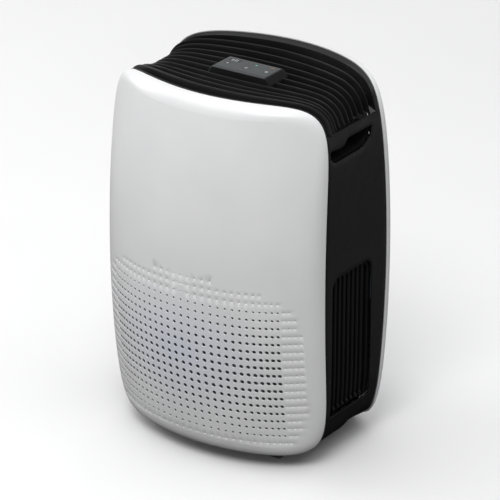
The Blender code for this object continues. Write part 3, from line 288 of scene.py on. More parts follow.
FINISHES = {
    "white_gloss": white_shell(),
    "black_satin": moulded("black_satin", (0.0068, 0.0068, 0.0071), (0.009, 0.009, 0.0094), (0.42, 0.54),
                           1300.0, 0.25, specular=0.16),
    "grey_plate": moulded("grey_plate", (0.060, 0.065, 0.066), (0.074, 0.080, 0.081), (0.38, 0.48), 1500.0,
                          0.2, specular=0.25),
    "button_grey": moulded("button_grey", (0.066, 0.071, 0.072), (0.080, 0.086, 0.087), (0.42, 0.52), 1500.0,
                           0.2, specular=0.25),
    "smoked_lens": moulded("smoked_lens", (0.03, 0.034, 0.036), (0.045, 0.05, 0.052), (0.06, 0.14), 200.0,
                           0.02, coat=0.5),
    "board_green": moulded("board_green", (0.012, 0.09, 0.035), (0.03, 0.15, 0.07), (0.35, 0.6), 220.0, 0.5),
    "filter_grey": woven_filter(),
    "tank_blue": smoke_tank(),
    "fin_aluminium": brushed("fin_aluminium", (0.62, 0.63, 0.65), (0.80, 0.81, 0.82), (1, 1, 0.05)),
    "copper": brushed("copper", (0.55, 0.24, 0.12), (0.80, 0.42, 0.26), (0.3, 0.3, 1), (0.2, 0.45)),
    "inner_grey": moulded("inner_grey", (0.30, 0.31, 0.32), (0.37, 0.38, 0.39), (0.5, 0.68), 800.0, 0.3),
    "motor_steel": brushed("motor_steel", (0.38, 0.39, 0.41), (0.54, 0.55, 0.57), (1, 0.08, 1)),
    "compressor_black": moulded("compressor_black", (0.014, 0.014, 0.016), (0.03, 0.03, 0.032), (0.25, 0.42),
                                500.0, 0.4, metallic=0.2, coat=0.2),
    "rubber_black": moulded("rubber_black", (0.012, 0.012, 0.012), (0.026, 0.025, 0.025), (0.72, 0.9), 600.0,
                            0.5),
    "float_white": moulded("float_white", (0.66, 0.66, 0.62), (0.78, 0.78, 0.75), (0.75, 0.9), 380.0, 0.8),
    "screw_steel": brushed("screw_steel", (0.42, 0.42, 0.44), (0.66, 0.66, 0.68), (1, 1, 1)),
}
RIB_BLACK = moulded("rib_black", (0.0085, 0.0085, 0.009), (0.012, 0.012, 0.0125), (0.40, 0.50), 1300.0, 0.2,
                    specular=0.30)
# painted shade: a near-black, almost matte finish for the net behind the vent ribs, standing in for the
# shadowed inside of the body
VENT_SHADE_NET = moulded("vent_shade_net", (0.002, 0.002, 0.002), (0.004, 0.004, 0.004), (0.8, 0.95), 900.0, 0.5,
                   specular=0.05)
PRINT_WHITE = moulded("print_white", (0.50, 0.51, 0.52), (0.58, 0.59, 0.60), (0.4, 0.5), 900.0, 0.1)
PRINT_AMBER = moulded("print_amber", (0.50, 0.22, 0.12), (0.58, 0.27, 0.15), (0.4, 0.5), 900.0, 0.1)
LED_GREEN = glow("led_green", (0.16, 0.62, 0.36), 0.6)


# ---------------------------------------------------------------- mesh helpers
def piece(name, points, faces, slot, body, replaces=(), finish=None, sharp=35):
    """One finished object that rides on a body, with its faces turned outwards."""
    mesh = bpy.data.meshes.new(name)
    mesh.from_pydata([tuple(p) for p in points], [], faces)
    soft = bmesh.new()
    soft.from_mesh(mesh)
    bmesh.ops.recalc_face_normals(soft, faces=soft.faces)
    soft.to_mesh(mesh)
    soft.free()
    mesh.shade_smooth()
    mesh.set_sharp_from_angle(angle=math.radians(sharp))
    mesh.materials.append(finish or FINISHES[slot])
    obj = bpy.data.objects.new(name, mesh)
    bpy.context.scene.collection.objects.link(obj)
    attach(obj, body)
    if replaces:
        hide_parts(*replaces)
    return obj


class Mesh:
    """Points and faces gathered from several simple shapes."""

    def __init__(self):
        self.points, self.faces = [], []

    def ring(self, points):
        first = len(self.points)
        self.points += [tuple(p) for p in points]
        return list(range(first, len(self.points)))

    def bridge(self, first, second, closed=True):
        count = len(first)
        for i in range(count if closed else count - 1):
            j = (i + 1) % count
            self.faces.append((first[i], first[j], second[j], second[i]))

    def cap(self, ring):
        self.faces.append(tuple(ring))

    def loft(self, rings, wrap=False):
        rows = [self.ring(r) for r in rings]
        for a, b in zip(rows, rows[1:]):
            self.bridge(a, b)
        if wrap:
            self.bridge(rows[-1], rows[0])
        else:
            self.cap(rows[0])
            self.cap(rows[-1])


def circle(radius, count):
    return [(radius * math.cos(math.tau * i / count), radius * math.sin(math.tau * i / count))
            for i in range(count)]


def turned(mesh, profile, axis, centre, count=48, wrap=False):
    """Sweeps (radius, height) pairs round an axis through a centre."""
    def place(a, b, h):
        return Vector({"X": (h, a, b), "Y": (b, h, a), "Z": (a, b, h)}[axis]) + Vector(centre)
    mesh.loft([[place(a, b, h) for a, b in circle(r, count)] for r, h in profile], wrap)


def rounded_rectangle(half_a, low_b, high_b, corner, steps=8, runs=1):
    """Points (a, b) round a rectangle with round corners; runs divides its straight sides."""
    points = []
    for turn, (ca, cb) in enumerate(((half_a, high_b), (-half_a, high_b), (-half_a, low_b), (half_a, low_b))):
        centre = (ca - math.copysign(corner, ca), cb - (corner if cb == high_b else -corner))
        for i in range(steps + 1):
            angle = math.radians(90 * (turn + i / steps))
            points.append((centre[0] + corner * math.cos(angle), centre[1] + corner * math.sin(angle)))
    divided = []
    for i, here in enumerate(points):
        after = points[(i + 1) % len(points)]
        cuts = runs if (i + 1) % (steps + 1) == 0 else 1
        divided += [(mix(here[0], after[0], k / cuts), mix(here[1], after[1], k / cuts)) for k in range(cuts)]
    return divided


def offset_outline(points, distance):
    """The outline moved out by a distance (points run anticlockwise)."""
    moved = []
    for i, here in enumerate(points):
        before, after = Vector(points[i - 1]), Vector(points[(i + 1) % len(points)])
        along = (Vector(here) - before).normalized() + (after - Vector(here)).normalized()
        along.normalize()
        moved.append((here[0] + along[1] * distance, here[1] - along[0] * distance))
    return moved


def smooth_loop(points, steps):
    """A closed Catmull-Rom curve through the points."""
    loop, count = [], len(points)
    for i in range(count):
        a, b, c, d = (Vector(points[(i + k) % count]) for k in (-1, 0, 1, 2))
        for k in range(steps):
            t = k / steps
            p = 0.5 * (2 * b + (c - a) * t + (2 * a - 5 * b + 4 * c - d) * t**2
                       + (3 * b - a - 3 * c + d) * t**3)
            loop.append((p.x, p.y))
    return loop


def contains(loop, point):
    inside, (x, y) = False, point
    for i, (ax, ay) in enumerate(loop):
        bx, by = loop[i - 1]
        if (ay > y) != (by > y) and x < (bx - ax) * (y - ay) / (by - ay) + ax:
            inside = not inside
    return inside


class Opening:
    """A loop in a sheet's own two coordinates. walls are 3D rings between the sheet's front and back;
    a blind one ends in the point `floor` instead of reaching the back."""

    def __init__(self, loop, walls=(), floor=None):
        self.loop, self.walls, self.floor = loop, list(walls), floor
        self.centre = sum((Vector(p) for p in loop), Vector((0, 0))) / len(loop)
        self.radius = max((Vector(p) - self.centre).length for p in loop)

    def near(self, point, margin):
        gap = (Vector(point) - self.centre).length
        if gap > self.radius + margin:
            return False
        if len(self.loop) < 20:
            return True
        return (contains(self.loop, point)
                or min((Vector(p) - Vector(point)).length for p in self.loop) < margin)


def sheet(name, outline, openings, fill, front, back, slot, body, replaces=(), rim=()):
    """A curved sheet with thickness, cut by openings. outline and openings are in the sheet's own (a, b);
    front and back give the 3D point of each. fill adds inner points. rim holds rings round the edge."""
    spots, edges, owner = [], [], []

    def add_loop(loop, tag):
        first = len(spots)
        spots.extend(Vector(p) for p in loop)
        owner.extend([tag] * len(loop))
        edges.extend((first + i, first + (i + 1) % len(loop)) for i in range(len(loop)))
        return list(range(first, len(spots)))

    border = add_loop(outline, -1)
    loops = [add_loop(opening.loop, k) for k, opening in enumerate(openings)]
    for point in fill:
        spots.append(Vector(point))
        owner.append(-2)
    _, _, triangles, sources, _, _ = delaunay_2d_cdt(spots, edges, [], 0, 1e-8, True)
    home = [ids[0] for ids in sources]
    kept = []
    for triangle in triangles:
        ids = [home[i] for i in triangle]
        tags = {owner[i] for i in ids}
        if len(tags) == 1 and min(tags) >= 0:
            middle = sum((spots[i] for i in ids), Vector((0, 0))) / 3
            opening = openings[tags.pop()]
            if len(opening.loop) < 20 or contains(opening.loop, middle):
                continue
        kept.append(tuple(ids))
    mesh, count = Mesh(), len(spots)
    mesh.ring([front(*p) for p in spots])
    mesh.ring([back(*p) for p in spots])
    for a, b, c in kept:
        mesh.faces += [(a, b, c), (c + count, b + count, a + count)]

    def join(ring, walls):
        last = ring
        for wall in walls:
            here = mesh.ring(wall)
            mesh.bridge(last, here)
            last = here
        return last

    for ring, opening in zip(loops, openings):
        last = join(ring, opening.walls)
        if opening.floor is None:
            mesh.bridge(last, [i + count for i in ring])
        else:
            tip = len(mesh.points)
            mesh.points.append(tuple(opening.floor))
            mesh.faces += [(last[i], last[(i + 1) % len(last)], tip) for i in range(len(last))]
            mesh.cap([i + count for i in ring])
    mesh.bridge(join(border, rim), [i + count for i in border])
    return piece(name, mesh.points, mesh.faces, slot, body, replaces)


def grid_fill(width, height, centre_b, pitch, inside, openings, margin):
    """Points of a regular grid that are inside the outline and clear of the openings."""
    points = []
    for i in range(-int(width / pitch), int(width / pitch) + 1):
        for j in range(-int(height / pitch), int(height / pitch) + 1):
            p = (i * pitch, centre_b + (j + 0.5 * (i % 2)) * pitch)
            if inside(p) and not any(o.near(p, margin) for o in openings):
                points.append(p)
    return points


# ---------------------------------------------------------------- white shells
def shell_skin(seam, face, sign, t, inset, lift, steps):
    """Rings from the seam round the rolled edge onto the face."""
    rings = []
    for step in range(steps + 1):
        share = step / steps
        ring = []
        for direction in round_outline():
            x0, z0 = outline_point(direction, t, inset)
            roll = abs(face(x0, z0) - seam(x0, z0))
            p, q = (abs(part) ** 8 for part in direction)
            x1, z1 = outline_point(direction, t, inset + roll * (0.72 + 0.25 * q / (p + q)))
            a, b, c = (1 - share) ** 2, 2 * share * (1 - share), share**2
            depth = a * seam(x0, z0) + b * (face(x0, z0) - sign * lift) + c * (face(x1, z1) - sign * lift)
            ring.append((mix(x0, x1, c), y_of(depth), mix(z0, z1, c)))
        rings.append(ring)
    return rings


def rolled_sheet(name, seam, face, sign, t, openings, fill, slot, body, replaces):
    """A bowed face with openings and the rolled edge round it, as one closed sheet."""
    outer = shell_skin(seam, face, sign, t, 0.0, 0.0, 9)
    inner = shell_skin(seam, face, sign, t, WALL, WALL, 5)
    outline = [(x, z) for x, _, z in outer[-1]]
    inset_of = {(round(x, 6), round(z, 6)): p for (x, z), p in zip(outline, inner[-1])}

    def back(x, z):
        edge = inset_of.get((round(x, 6), round(z, 6)))
        return edge or (x, y_of(face(x, z) - sign * WALL), z)

    return sheet(name, outline, openings, fill(outline), lambda x, z: (x, y_of(face(x, z)), z), back, slot,
                 body, replaces, rim=outer[-2::-1] + inner[:-1])


def dot_places():
    """(x, z, radius, through) of the front's pattern: even rows; columns close up towards the edges."""
    places = []
    for row in range(-3, 18):
        z = DOT_TOP_Z - DOT_ROW_PITCH * row
        up = DOT_WAIST_ROW - row
        reach = DOT_REACH * max(0.0, 1 - abs(up / (DOT_ROWS_UP if up > 0 else DOT_ROWS_DOWN)) ** 3) ** (1 / 3)
        fade = 1 - 0.5 * ((row - 9) / (9 if row < 9 else 7.5)) ** 2
        for column in range(-18, 19):
            if abs(column) > reach:
                continue
            q = column / 16
            x = DOT_COLUMN_PITCH * column * (1 - 0.31 * q**2 + 0.09 * q**4)
            through = abs(column) <= 14 and 0 <= row <= 16 and abs(column) < reach - 2.0
            radius = HOLE_RADIUS * (1 - 0.20 * q**2) * fade if through else DIMPLE_RADIUS
            places.append((x, z, radius, through))
    return places


def make_front():
    """The bowed front: open holes in the middle of the pattern, shallow dimples towards its edges."""
    chamfer = 0.00045

    def dot(x, z, radius, through):
        def ring(r, sink):
            return [(x + a, y_of(face_depth(x + a, z + b) + sink), z + b) for a, b in circle(r, 12)]
        outer = [(x + a, z + b) for a, b in circle(radius + chamfer, 12)]
        if through:
            return Opening(outer, [ring(radius, 0.0005)])
        return Opening(outer, [ring(radius, 0.0003), ring(radius * 0.6, 0.0011)],
                       (x, y_of(face_depth(x, z) + 0.0014), z))

    border = [(x, z) for x, _, z in shell_skin(front_seam_depth, face_depth, -1, 0.0, 0.0, 0.0, 1)[-1]]
    places = [(x, z, radius, through) for x, z, radius, through in dot_places()
              if contains(border, (x, z)) and min(math.dist(p, (x, z)) for p in border) > radius + 0.0012]
    dots = [dot(*place) for place in places]
    lowest, highest = min(p[1] for p in places), max(p[1] for p in places)

    def fill(outline):
        plain = grid_fill(0.18, 0.27, CENTRE_Z, 0.009,
                          lambda p: contains(outline, p) and min(
                              (Vector(q) - Vector(p)).length for q in outline) > 0.004
                          and not lowest - 0.008 < p[1] < highest + 0.008, [], 0)
        rows = sorted({round(p[1], 5) for p in places})
        columns = sorted({round(p[0], 5) for p in places})
        between = []
        for z0, z1 in zip(rows, rows[1:]):
            for x0, x1 in zip(columns, columns[1:]):
                p = ((x0 + x1) / 2, (z0 + z1) / 2)
                if contains(outline, p) and min((Vector(q) - Vector(p)).length for q in outline) > 0.003:
                    between.append(p)
        return plain + between

    rolled_sheet("front_shell", front_seam_depth, face_depth, -1, 0.0, dots, fill, "white_gloss", "housing",
                 ("front_panel",))
    # painted shade: a dark net behind the holes stands in for the shadowed inside of the body
    make_intake_shade_screen(lowest, highest)


def make_intake_shade_screen(lowest, highest):
    """A dark net behind the perforations, so that the holes look black: painted shade standing in for the
    shadowed inside of the body.
    """
    half, columns, rows = 0.150, 30, 20

    def grid(sink):
        return [[(x, y_of(face_depth(x, z) + sink), z)
                 for x in (mix(-half, half, c / columns) for c in range(columns + 1))]
                for z in (mix(lowest, highest, r / rows) for r in range(rows + 1))]

    mesh = Mesh()
    slab(mesh, grid(0.0045), grid(0.0055))
    piece("intake_shade_screen", mesh.points, mesh.faces, "filter_grey", "housing")


def slab(mesh, outer, inner, open_cells=frozenset()):
    """A sheet between two equal grids of points, with holes at the open cells."""
    rows, columns = len(outer), len(outer[0])
    base = len(mesh.points)
    mesh.ring([p for grid in (outer, inner) for row in grid for p in row])
    half = base + rows * columns

    def closed(r, c):
        return 0 <= r < rows - 1 and 0 <= c < columns - 1 and (r, c) not in open_cells

    for r in range(rows - 1):
        for c in range(columns - 1):
            if closed(r, c):
                a, b = r * columns + c, (r + 1) * columns + c
                mesh.faces.append((base + a, base + a + 1, base + b + 1, base + b))
                mesh.faces.append((half + a, half + b, half + b + 1, half + a + 1))
    for r in range(rows):
        for c in range(columns - 1):
            if closed(r, c) != closed(r - 1, c):
                a = r * columns + c
                mesh.faces.append((base + a, base + a + 1, half + a + 1, half + a))
    for r in range(rows - 1):
        for c in range(columns):
            if closed(r, c) != closed(r, c - 1):
                a = r * columns + c
                mesh.faces.append((base + a, base + a + columns, half + a + columns, half + a))


def back_ring(loop, sink):
    return [(a, y_of(back_depth(a, b) - sink), b) for a, b in loop]


def make_back():
    """The back shell, with softened edges round the filter and tank openings."""
    def window(loop, lip):
        return Opening(offset_outline(loop, lip), [back_ring(offset_outline(loop, lip * 0.3), lip * 0.3),
                                                   back_ring(loop, lip)])

    gap = OPENING_CLEARANCE
    tank = rounded_rectangle(TANK_HALF_WIDTH + gap, TANK_Z[0] - gap, TANK_Z[1] + gap, 0.002, 4, 24)
    grille = rounded_rectangle(FILTER_HALF_WIDTH + gap, FILTER_Z[0] - gap, FILTER_Z[1] + gap, OPENING_CORNER,
                               8, 22)
    openings = [window(tank, 0.0008), window(grille, 0.0010)]
    for x, z, radius in [(GLAND_X, GLAND_Z, GLAND_RADIUS + 0.0003),
                         (-GLAND_X, GLAND_Z, GLAND_RADIUS + 0.0003),
                         *[(x, z, SCREW_HEAD + 0.0003) for x, z in SCREWS]]:
        openings.append(window([(x + a, z + b) for a, b in circle(radius, 24)], 0.0006))

    def fill(outline):
        return grid_fill(0.18, 0.27, CENTRE_Z, 0.009, lambda p: contains(outline, p) and min(
            (Vector(q) - Vector(p)).length for q in outline) > 0.004, openings, 0.004)

    rolled_sheet("rear_shell", rear_seam_depth, back_depth, 1, 1.0, openings, fill, "white_gloss", "housing",
                 ("back_shell",))


# ---------------------------------------------------------------- black flanks
def handle_outline():
    """Hand opening in (depth, z): a straight grip edge that dips over its front part."""
    top, dip, floor = CENTRE_Z + 0.2097, CENTRE_Z + 0.2030, CENTRE_Z + 0.1845
    return [(0.1225, floor), (0.1520, floor + 0.0002), (0.1840, floor + 0.0007), (0.1975, floor + 0.0045),
            (0.2065, floor + 0.0125), (0.2095, floor + 0.0205), (0.2080, top), (0.1800, top), (0.1560, top),
            (0.1490, top - 0.0022), (0.1430, dip - 0.0005), (0.1340, dip - 0.0020), (0.1220, dip - 0.0010),
            (0.1110, dip), (0.1090, dip - 0.0060), (0.1120, floor + 0.0055)]


def vent_outline(shrink=0.0, steps=12):
    """Side vent in (depth, z): square below, round corners above."""
    low, high, floor, top = VENT[0] + shrink, VENT[1] - shrink, VENT[2] + shrink, VENT[3] - shrink
    corner = VENT_CORNER - shrink
    points = [(mix(low, high, i / 10), floor) for i in range(10)]
    points += [(high, mix(floor, top - corner, i / 20)) for i in range(20)]
    points += [(high - corner + corner * math.cos(a), top - corner + corner * math.sin(a))
               for a in (math.radians(90 * i / steps) for i in range(steps))]
    points += [(mix(high - corner, low + corner, i / 8), top) for i in range(8)]
    points += [(low + corner - corner * math.sin(a), top - corner + corner * math.cos(a))
               for a in (math.radians(90 * i / steps) for i in range(steps))]
    return points + [(low, mix(top - corner, floor, i / 20)) for i in range(20)]


UNROLL = 0.2                # the flank's own coordinate is this times the fraction of the depth


def make_flank(name, side):
    """The black side panel between the two shells, with the hand opening and the vent."""
    low, high = BASE_SEAM_Z + 0.0003, RIB_END_Z - 0.0003

    def on_surface(a, z, inset):
        t = a / UNROLL
        x = side_x(z, t, inset)
        return side * x, y_of(body_depth(x, z, t)), z

    def front(a, z):
        soft = max(0.0, 0.0012 - min(a, UNROLL - a)) + max(0.0, z - high + 0.0012)
        return on_surface(a, z, REVEAL + soft * 0.6)

    def back(a, z):
        return on_surface(a, z, REVEAL + WALL)

    def own(loop):
        return [(fraction_at(depth, z) * UNROLL, z) for depth, z in loop]

    def window(loop, lip):
        def wall(grow, sink):
            return [on_surface(a, z, REVEAL + sink) for a, z in own(offset_outline(loop, grow))]
        return Opening(own(offset_outline(loop, lip)),
                       [wall(lip * 0.55, lip * 0.15), wall(lip * 0.2, lip * 0.45), wall(0.0, lip)])

    hand, vent = smooth_loop(handle_outline(), 5), vent_outline()
    openings = [window(hand, 0.0016), window(vent, 0.0006)]
    across, up = 40, 72
    outline = [(mix(0, UNROLL, i / across), low) for i in range(across)]
    outline += [(UNROLL, mix(low, high, i / up)) for i in range(up)]
    outline += [(mix(UNROLL, 0, i / across), high) for i in range(across)]
    outline += [(0, mix(high, low, i / up)) for i in range(up)]
    fill = [(a, z)
            for a in (0.0012, *[mix(0.006, UNROLL - 0.006, i / 26) for i in range(27)], UNROLL - 0.0012)
            for z in (*[mix(low + 0.005, high - 0.006, i / 60) for i in range(61)], high - 0.0012)
            if not any(o.near((a, z), 0.003) for o in openings)]
    sheet(f"flank_{name}", outline, openings, fill, front, back, "black_satin", "housing",
          (f"side_panel_{name}",))


def make_pocket(name, side):
    """The finger pocket behind the hand opening."""
    outline = smooth_loop(handle_outline(), 5)
    face_x, mid_x, end_x, skin = 0.1716, 0.156, 0.144, 0.002

    def ring(x, grow, lift):
        return [(side * x, y_of(a), b + lift) for a, b in offset_outline(outline, grow)]

    rings = [ring(end_x - skin + 0.0001, -0.001, 0.004), ring(mid_x, skin + 0.0008, 0.004),
             ring(face_x - skin, skin, 0), ring(face_x - skin, 0.0038, 0), ring(face_x, 0.0038, 0),
             ring(face_x, 0.0003, 0), ring(face_x - 0.002, 0.0, 0.0002),
             ring(mid(face_x, mid_x), 0.0006, 0.0022), ring(mid_x, 0.0008, 0.004),
             ring(end_x + 0.0035, 0.0002, 0.004), ring(end_x + 0.0008, -0.0022, 0.004),
             ring(end_x, -0.0055, 0.004)]
    mesh = Mesh()
    mesh.loft(rings)
    piece(f"pocket_{name}", mesh.points, mesh.faces, "black_satin", "housing", (f"handle_cup_{name}",))


def mid(a, b):
    return (a + b) / 2


def make_vent_insert(name, side):
    """The slotted insert of one vent, sunk under the flank: a frame on three sides and round-nosed ribs."""
    mesh = Mesh()
    sunk, thickness, border, flange = 0.0040, 0.0030, 0.0045, 0.0050
    foot = VENT[2] + 0.0006

    def on_flank(depth, z, sink):
        z = max(z, foot)
        x = side_x(z, fraction_at(depth, z), REVEAL + sunk + sink)
        return side * x, y_of(depth), z

    def ring(grow, sink):
        top = VENT[3] + grow
        bottom = VENT[2] - grow
        stretch = (top - foot) / (top - bottom)
        return [on_flank(a, top - (top - b) * stretch, sink) for a, b in vent_outline(-grow)]

    mesh.loft([ring(flange, 0.0008), ring(0.0, 0.0008), ring(-border + 0.0022, 0.0006),
               ring(-border + 0.0016, 0.0), ring(-border + 0.0004, 0.0), ring(-border, 0.0006),
               ring(-border, thickness), ring(flange, thickness)], wrap=True)
    low, high = VENT[0] + border, VENT[1] - border
    pitch = (high - low) / (VENT_RIBS + 1)
    half = 0.0021
    section = [(-half, thickness), (half, thickness), (half, 0.0018), (half * 0.75, 0.0006),
               (half * 0.3, 0.0), (-half * 0.3, 0.0), (-half * 0.75, 0.0006), (-half, 0.0018)]
    for k in range(1, VENT_RIBS + 1):
        middle = low + pitch * k
        reach = min(middle - VENT[0], VENT[1] - middle)
        top = VENT[3] - border + 0.0005
        if reach < VENT_CORNER:
            top += math.sqrt(VENT_CORNER**2 - (VENT_CORNER - reach) ** 2) - VENT_CORNER
        heights = [(foot + 0.001, 0.0016), (foot + 0.003, 0.0012), (foot + 0.0045, -0.0010),
                   (foot + 0.0085, -0.0010), (foot + 0.0105, 0.0008),
                   *[(mix(foot + 0.012, top, i / 16), 0.0006) for i in range(17)]]
        mesh.loft([[on_flank(middle + a, z, min(s + d, thickness)) for a, s in section] for z, d in heights])
    piece(f"vent_{name}", mesh.points, mesh.faces, "black_satin", "housing", (f"side_grille_{name}",))

    # painted shade: a near-black net behind the ribs stands in for the shadowed inside of the body
    def net_rows(sink):
        return [[on_flank(mix(VENT[0] - 0.004, VENT[1] + 0.004, i / 12),
                          mix(foot, VENT[3] + 0.004, j / 16), sink)
                 for i in range(13)] for j in range(17)]

    net = Mesh()
    slab(net, net_rows(thickness + 0.0006), net_rows(thickness + 0.0012))
    piece(f"vent_shade_net_{name}", net.points, net.faces, "filter_grey", "housing", (), VENT_SHADE_NET)


# ---------------------------------------------------------------- ribbed top
def crest_dip(t):
    return TOP_DIP * (ease(t, 0.08, 0.34) - ease(t, 0.62, 0.92))


def top_stations():
    """(t, sunk share, is a groove after) along the depth: rounded rib noses between flat-floored grooves."""
    rib = ((-0.0085, 1.0), (-0.0068, 0.55), (-0.0058, 0.16), (-0.0040, 0.03), (-0.0018, 0.0), (0.0018, 0.0),
           (0.0040, 0.03), (0.0058, 0.16), (0.0068, 0.55), (0.0085, 1.0))
    stations = [(0.0, 0.06, False), (0.003, 0.0, False), (0.010, 0.0, False), (0.012, 0.06, False),
                (0.014, 1.0, True)]
    for k in range(RIB_COUNT):
        middle = FIRST_RIB + RIB_PITCH * k
        stations += [(middle + dt, sunk, dt == rib[-1][0]) for dt, sunk in rib]
    return stations + [(0.938, 1.0, False), (0.941, 0.40, False), (0.944, 0.16, False), (0.950, 0.10, False),
                       (0.975, 0.04, False), (0.996, 0.0, False), (1.0, 0.06, False)]


def make_top():
    """Ribs that follow the outline over the top and down both shoulders, with slots between them."""
    stations = top_stations()
    over = [(s, 1) for s in [1 - (1 - i / 30) ** 1.4 for i in range(30, -1, -1)]][:-1]
    down = [(1, 1 - 0.05 * i / 8) for i in range(7, 0, -1)]
    right = down + over
    directions = right + [(0, 1)] + [(-p, q) for p, q in right[::-1]]

    def row(t, inset):
        half = side_x(RIB_END_Z, t, inset)
        line = [outline_point(d, t, inset) for d in directions]
        across = [(half, RIB_END_Z),
                  *[(x, max(z, RIB_END_Z + 0.0004 * (1 + i % 3))) for i, (x, z) in enumerate(line)],
                  (-half, RIB_END_Z)]
        return [(x, y_of(body_depth(x, z, t)), z) for x, z in across]

    floor_inset = REVEAL + TOP_DIP + GROOVE_DEPTH
    outer = [row(t, mix(REVEAL + crest_dip(t), floor_inset, sunk)) for t, sunk, _ in stations]
    inner = [row(t, floor_inset + 0.002) for t, _, _ in stations]
    columns = len(directions) + 1
    solid = {c for c in range(columns) if min(c, columns - 1 - c) < 9 or c % 9 in (0, 1)}
    open_cells = {(r, c) for r, (_, _, groove) in enumerate(stations) if groove for c in range(columns)
                  if c not in solid}
    mesh = Mesh()
    slab(mesh, outer, inner, open_cells)
    cover = piece("ribbed_top", mesh.points, mesh.faces, "black_satin", "housing", ("top_cover",), RIB_BLACK)
    half, front, rear = CONTROL_CUT[0], y_of(CONTROL_CUT[1]), y_of(CONTROL_CUT[2])
    cut = Mesh()
    cut.loft([[(x, y, z) for x, y in ((-half, front), (half, front), (half, rear), (-half, rear))]
              for z in (0.50, 0.60)])
    carve(cover, cut)


def carve(obj, cut):
    """Cuts a helper shape out of a piece and keeps the result as its mesh."""
    helper = bpy.data.objects.new("cutter", bpy.data.meshes.new("cutter"))
    helper.data.from_pydata([tuple(p) for p in cut.points], [], cut.faces)
    soft = bmesh.new()
    soft.from_mesh(helper.data)
    bmesh.ops.recalc_face_normals(soft, faces=soft.faces)
    soft.to_mesh(helper.data)
    soft.free()
    bpy.context.scene.collection.objects.link(helper)
    modifier = obj.modifiers.new("Cut", "BOOLEAN")
    modifier.operation, modifier.solver, modifier.object = "DIFFERENCE", "EXACT", helper
    bpy.context.view_layer.update()
    obj.data = bpy.data.meshes.new_from_object(obj.evaluated_get(bpy.context.evaluated_depsgraph_get()))
    obj.modifiers.clear()
    obj.data.set_sharp_from_angle(angle=math.radians(35))
    bpy.data.objects.remove(helper)


def make_base():
    """The base skirt: the lower part of the outline, flat below, with the four caster openings."""
    seam_z, across = BASE_SEAM_Z - 0.0003, 26
    right = [(1, -1 + 0.16 * (1 - i / 10)) for i in range(1, 10)] + [(1, -1)]
    right += [(s, -1) for s in [1 - (1 - i / 24) ** 1.4 for i in range(23, 0, -1)]]
    directions = right + [(0, -1)] + [(-p, q) for p, q in right[::-1]]

    def row(t, inset, thickness):
        half = side_x(seam_z, t, inset)
        line = [(half, seam_z), *[outline_point(d, t, inset) for d in directions], (-half, seam_z)]
        return [(x, y_of(body_depth(x, z, t)), max(min(z, seam_z), BASE_FLAT_Z + thickness)) for x, z in line]

    mesh = Mesh()
    slab(mesh, [row(i / across, REVEAL + 0.001, 0) for i in range(across + 1)],
         [row(i / across, REVEAL + 0.001 + WALL, WALL) for i in range(across + 1)])
    base = piece("skirt", mesh.points, mesh.faces, "black_satin", "housing", ("base_skirt",))
    for x, depth in caster_places():
        well = Mesh()
        turned(well, [(CASTER_WELL, -0.001), (CASTER_WELL, 0.0335)], "Z", (x, y_of(depth), 0), 48)
        carve(base, well)
    for x, depth in caster_places()[:2]:
        mouth = Mesh()
        mouth.loft([[(x + a, y_of(b), z)
                     for a, b in ((-0.02, 0.06), (0.02, 0.06), (0.02, depth), (-0.02, depth))]
                    for z in (-0.001, 0.0335)])
        carve(base, mouth)
    for side in (-1, 1):
        arch = Mesh()
        arch.loft([[(side * x, y_of(a), b) for a, b in base_arch()] for x in (0.1425, 0.19)])
        carve(base, arch)


def base_arch():
    """The notch under each flank in (depth, z)."""
    return [(0.1630, 0.0200), (0.1665, 0.0354), (0.1760, 0.0436), (0.1850, 0.0436), (0.2030, 0.0398),
            (0.2260, 0.0340), (0.2400, 0.0315), (0.2440, 0.0200)]


def caster_places():
    return [(side * x, depth) for x, depth in CASTERS for side in (1, -1)]


# ---------------------------------------------------------------- controls
def pad(mesh, outline, place, heights):
    """A small raised shape: the outline pushed through (height, shrink) steps."""
    mesh.loft([[place(a, b, h) for a, b in offset_outline(outline, -shrink)] for h, shrink in heights])


def stroke(mesh, ends, width, place, low, high):
    """A printed line between two points."""
    (ax, ay), (bx, by) = ends
    along = Vector((bx - ax, by - ay)).normalized()
    side = Vector((-along.y, along.x)) * width / 2
    outline = [(bx - side.x, by - side.y), (bx + side.x, by + side.y), (ax + side.x, ay + side.y),
               (ax - side.x, ay - side.y)]
    mesh.loft([[place(a, b, h) for a, b in outline] for h in (low, high)])


def arc_print(mesh, radius, width, turn, place, low, high, count=24):
    """A printed ring, open over a share of its turn round the far side."""
    inner, outer = [], []
    for i in range(count + 1):
        angle = math.pi / 2 + turn / 2 + (math.tau - turn) * i / count
        for ring, r in ((inner, radius - width / 2), (outer, radius + width / 2)):
            ring.append((r * math.cos(angle), r * math.sin(angle)))
    for k in range(count):
        outline = [outer[k], outer[k + 1], inner[k + 1], inner[k]]
        mesh.loft([[place(a, b, h) for a, b in outline] for h in (low, high)])


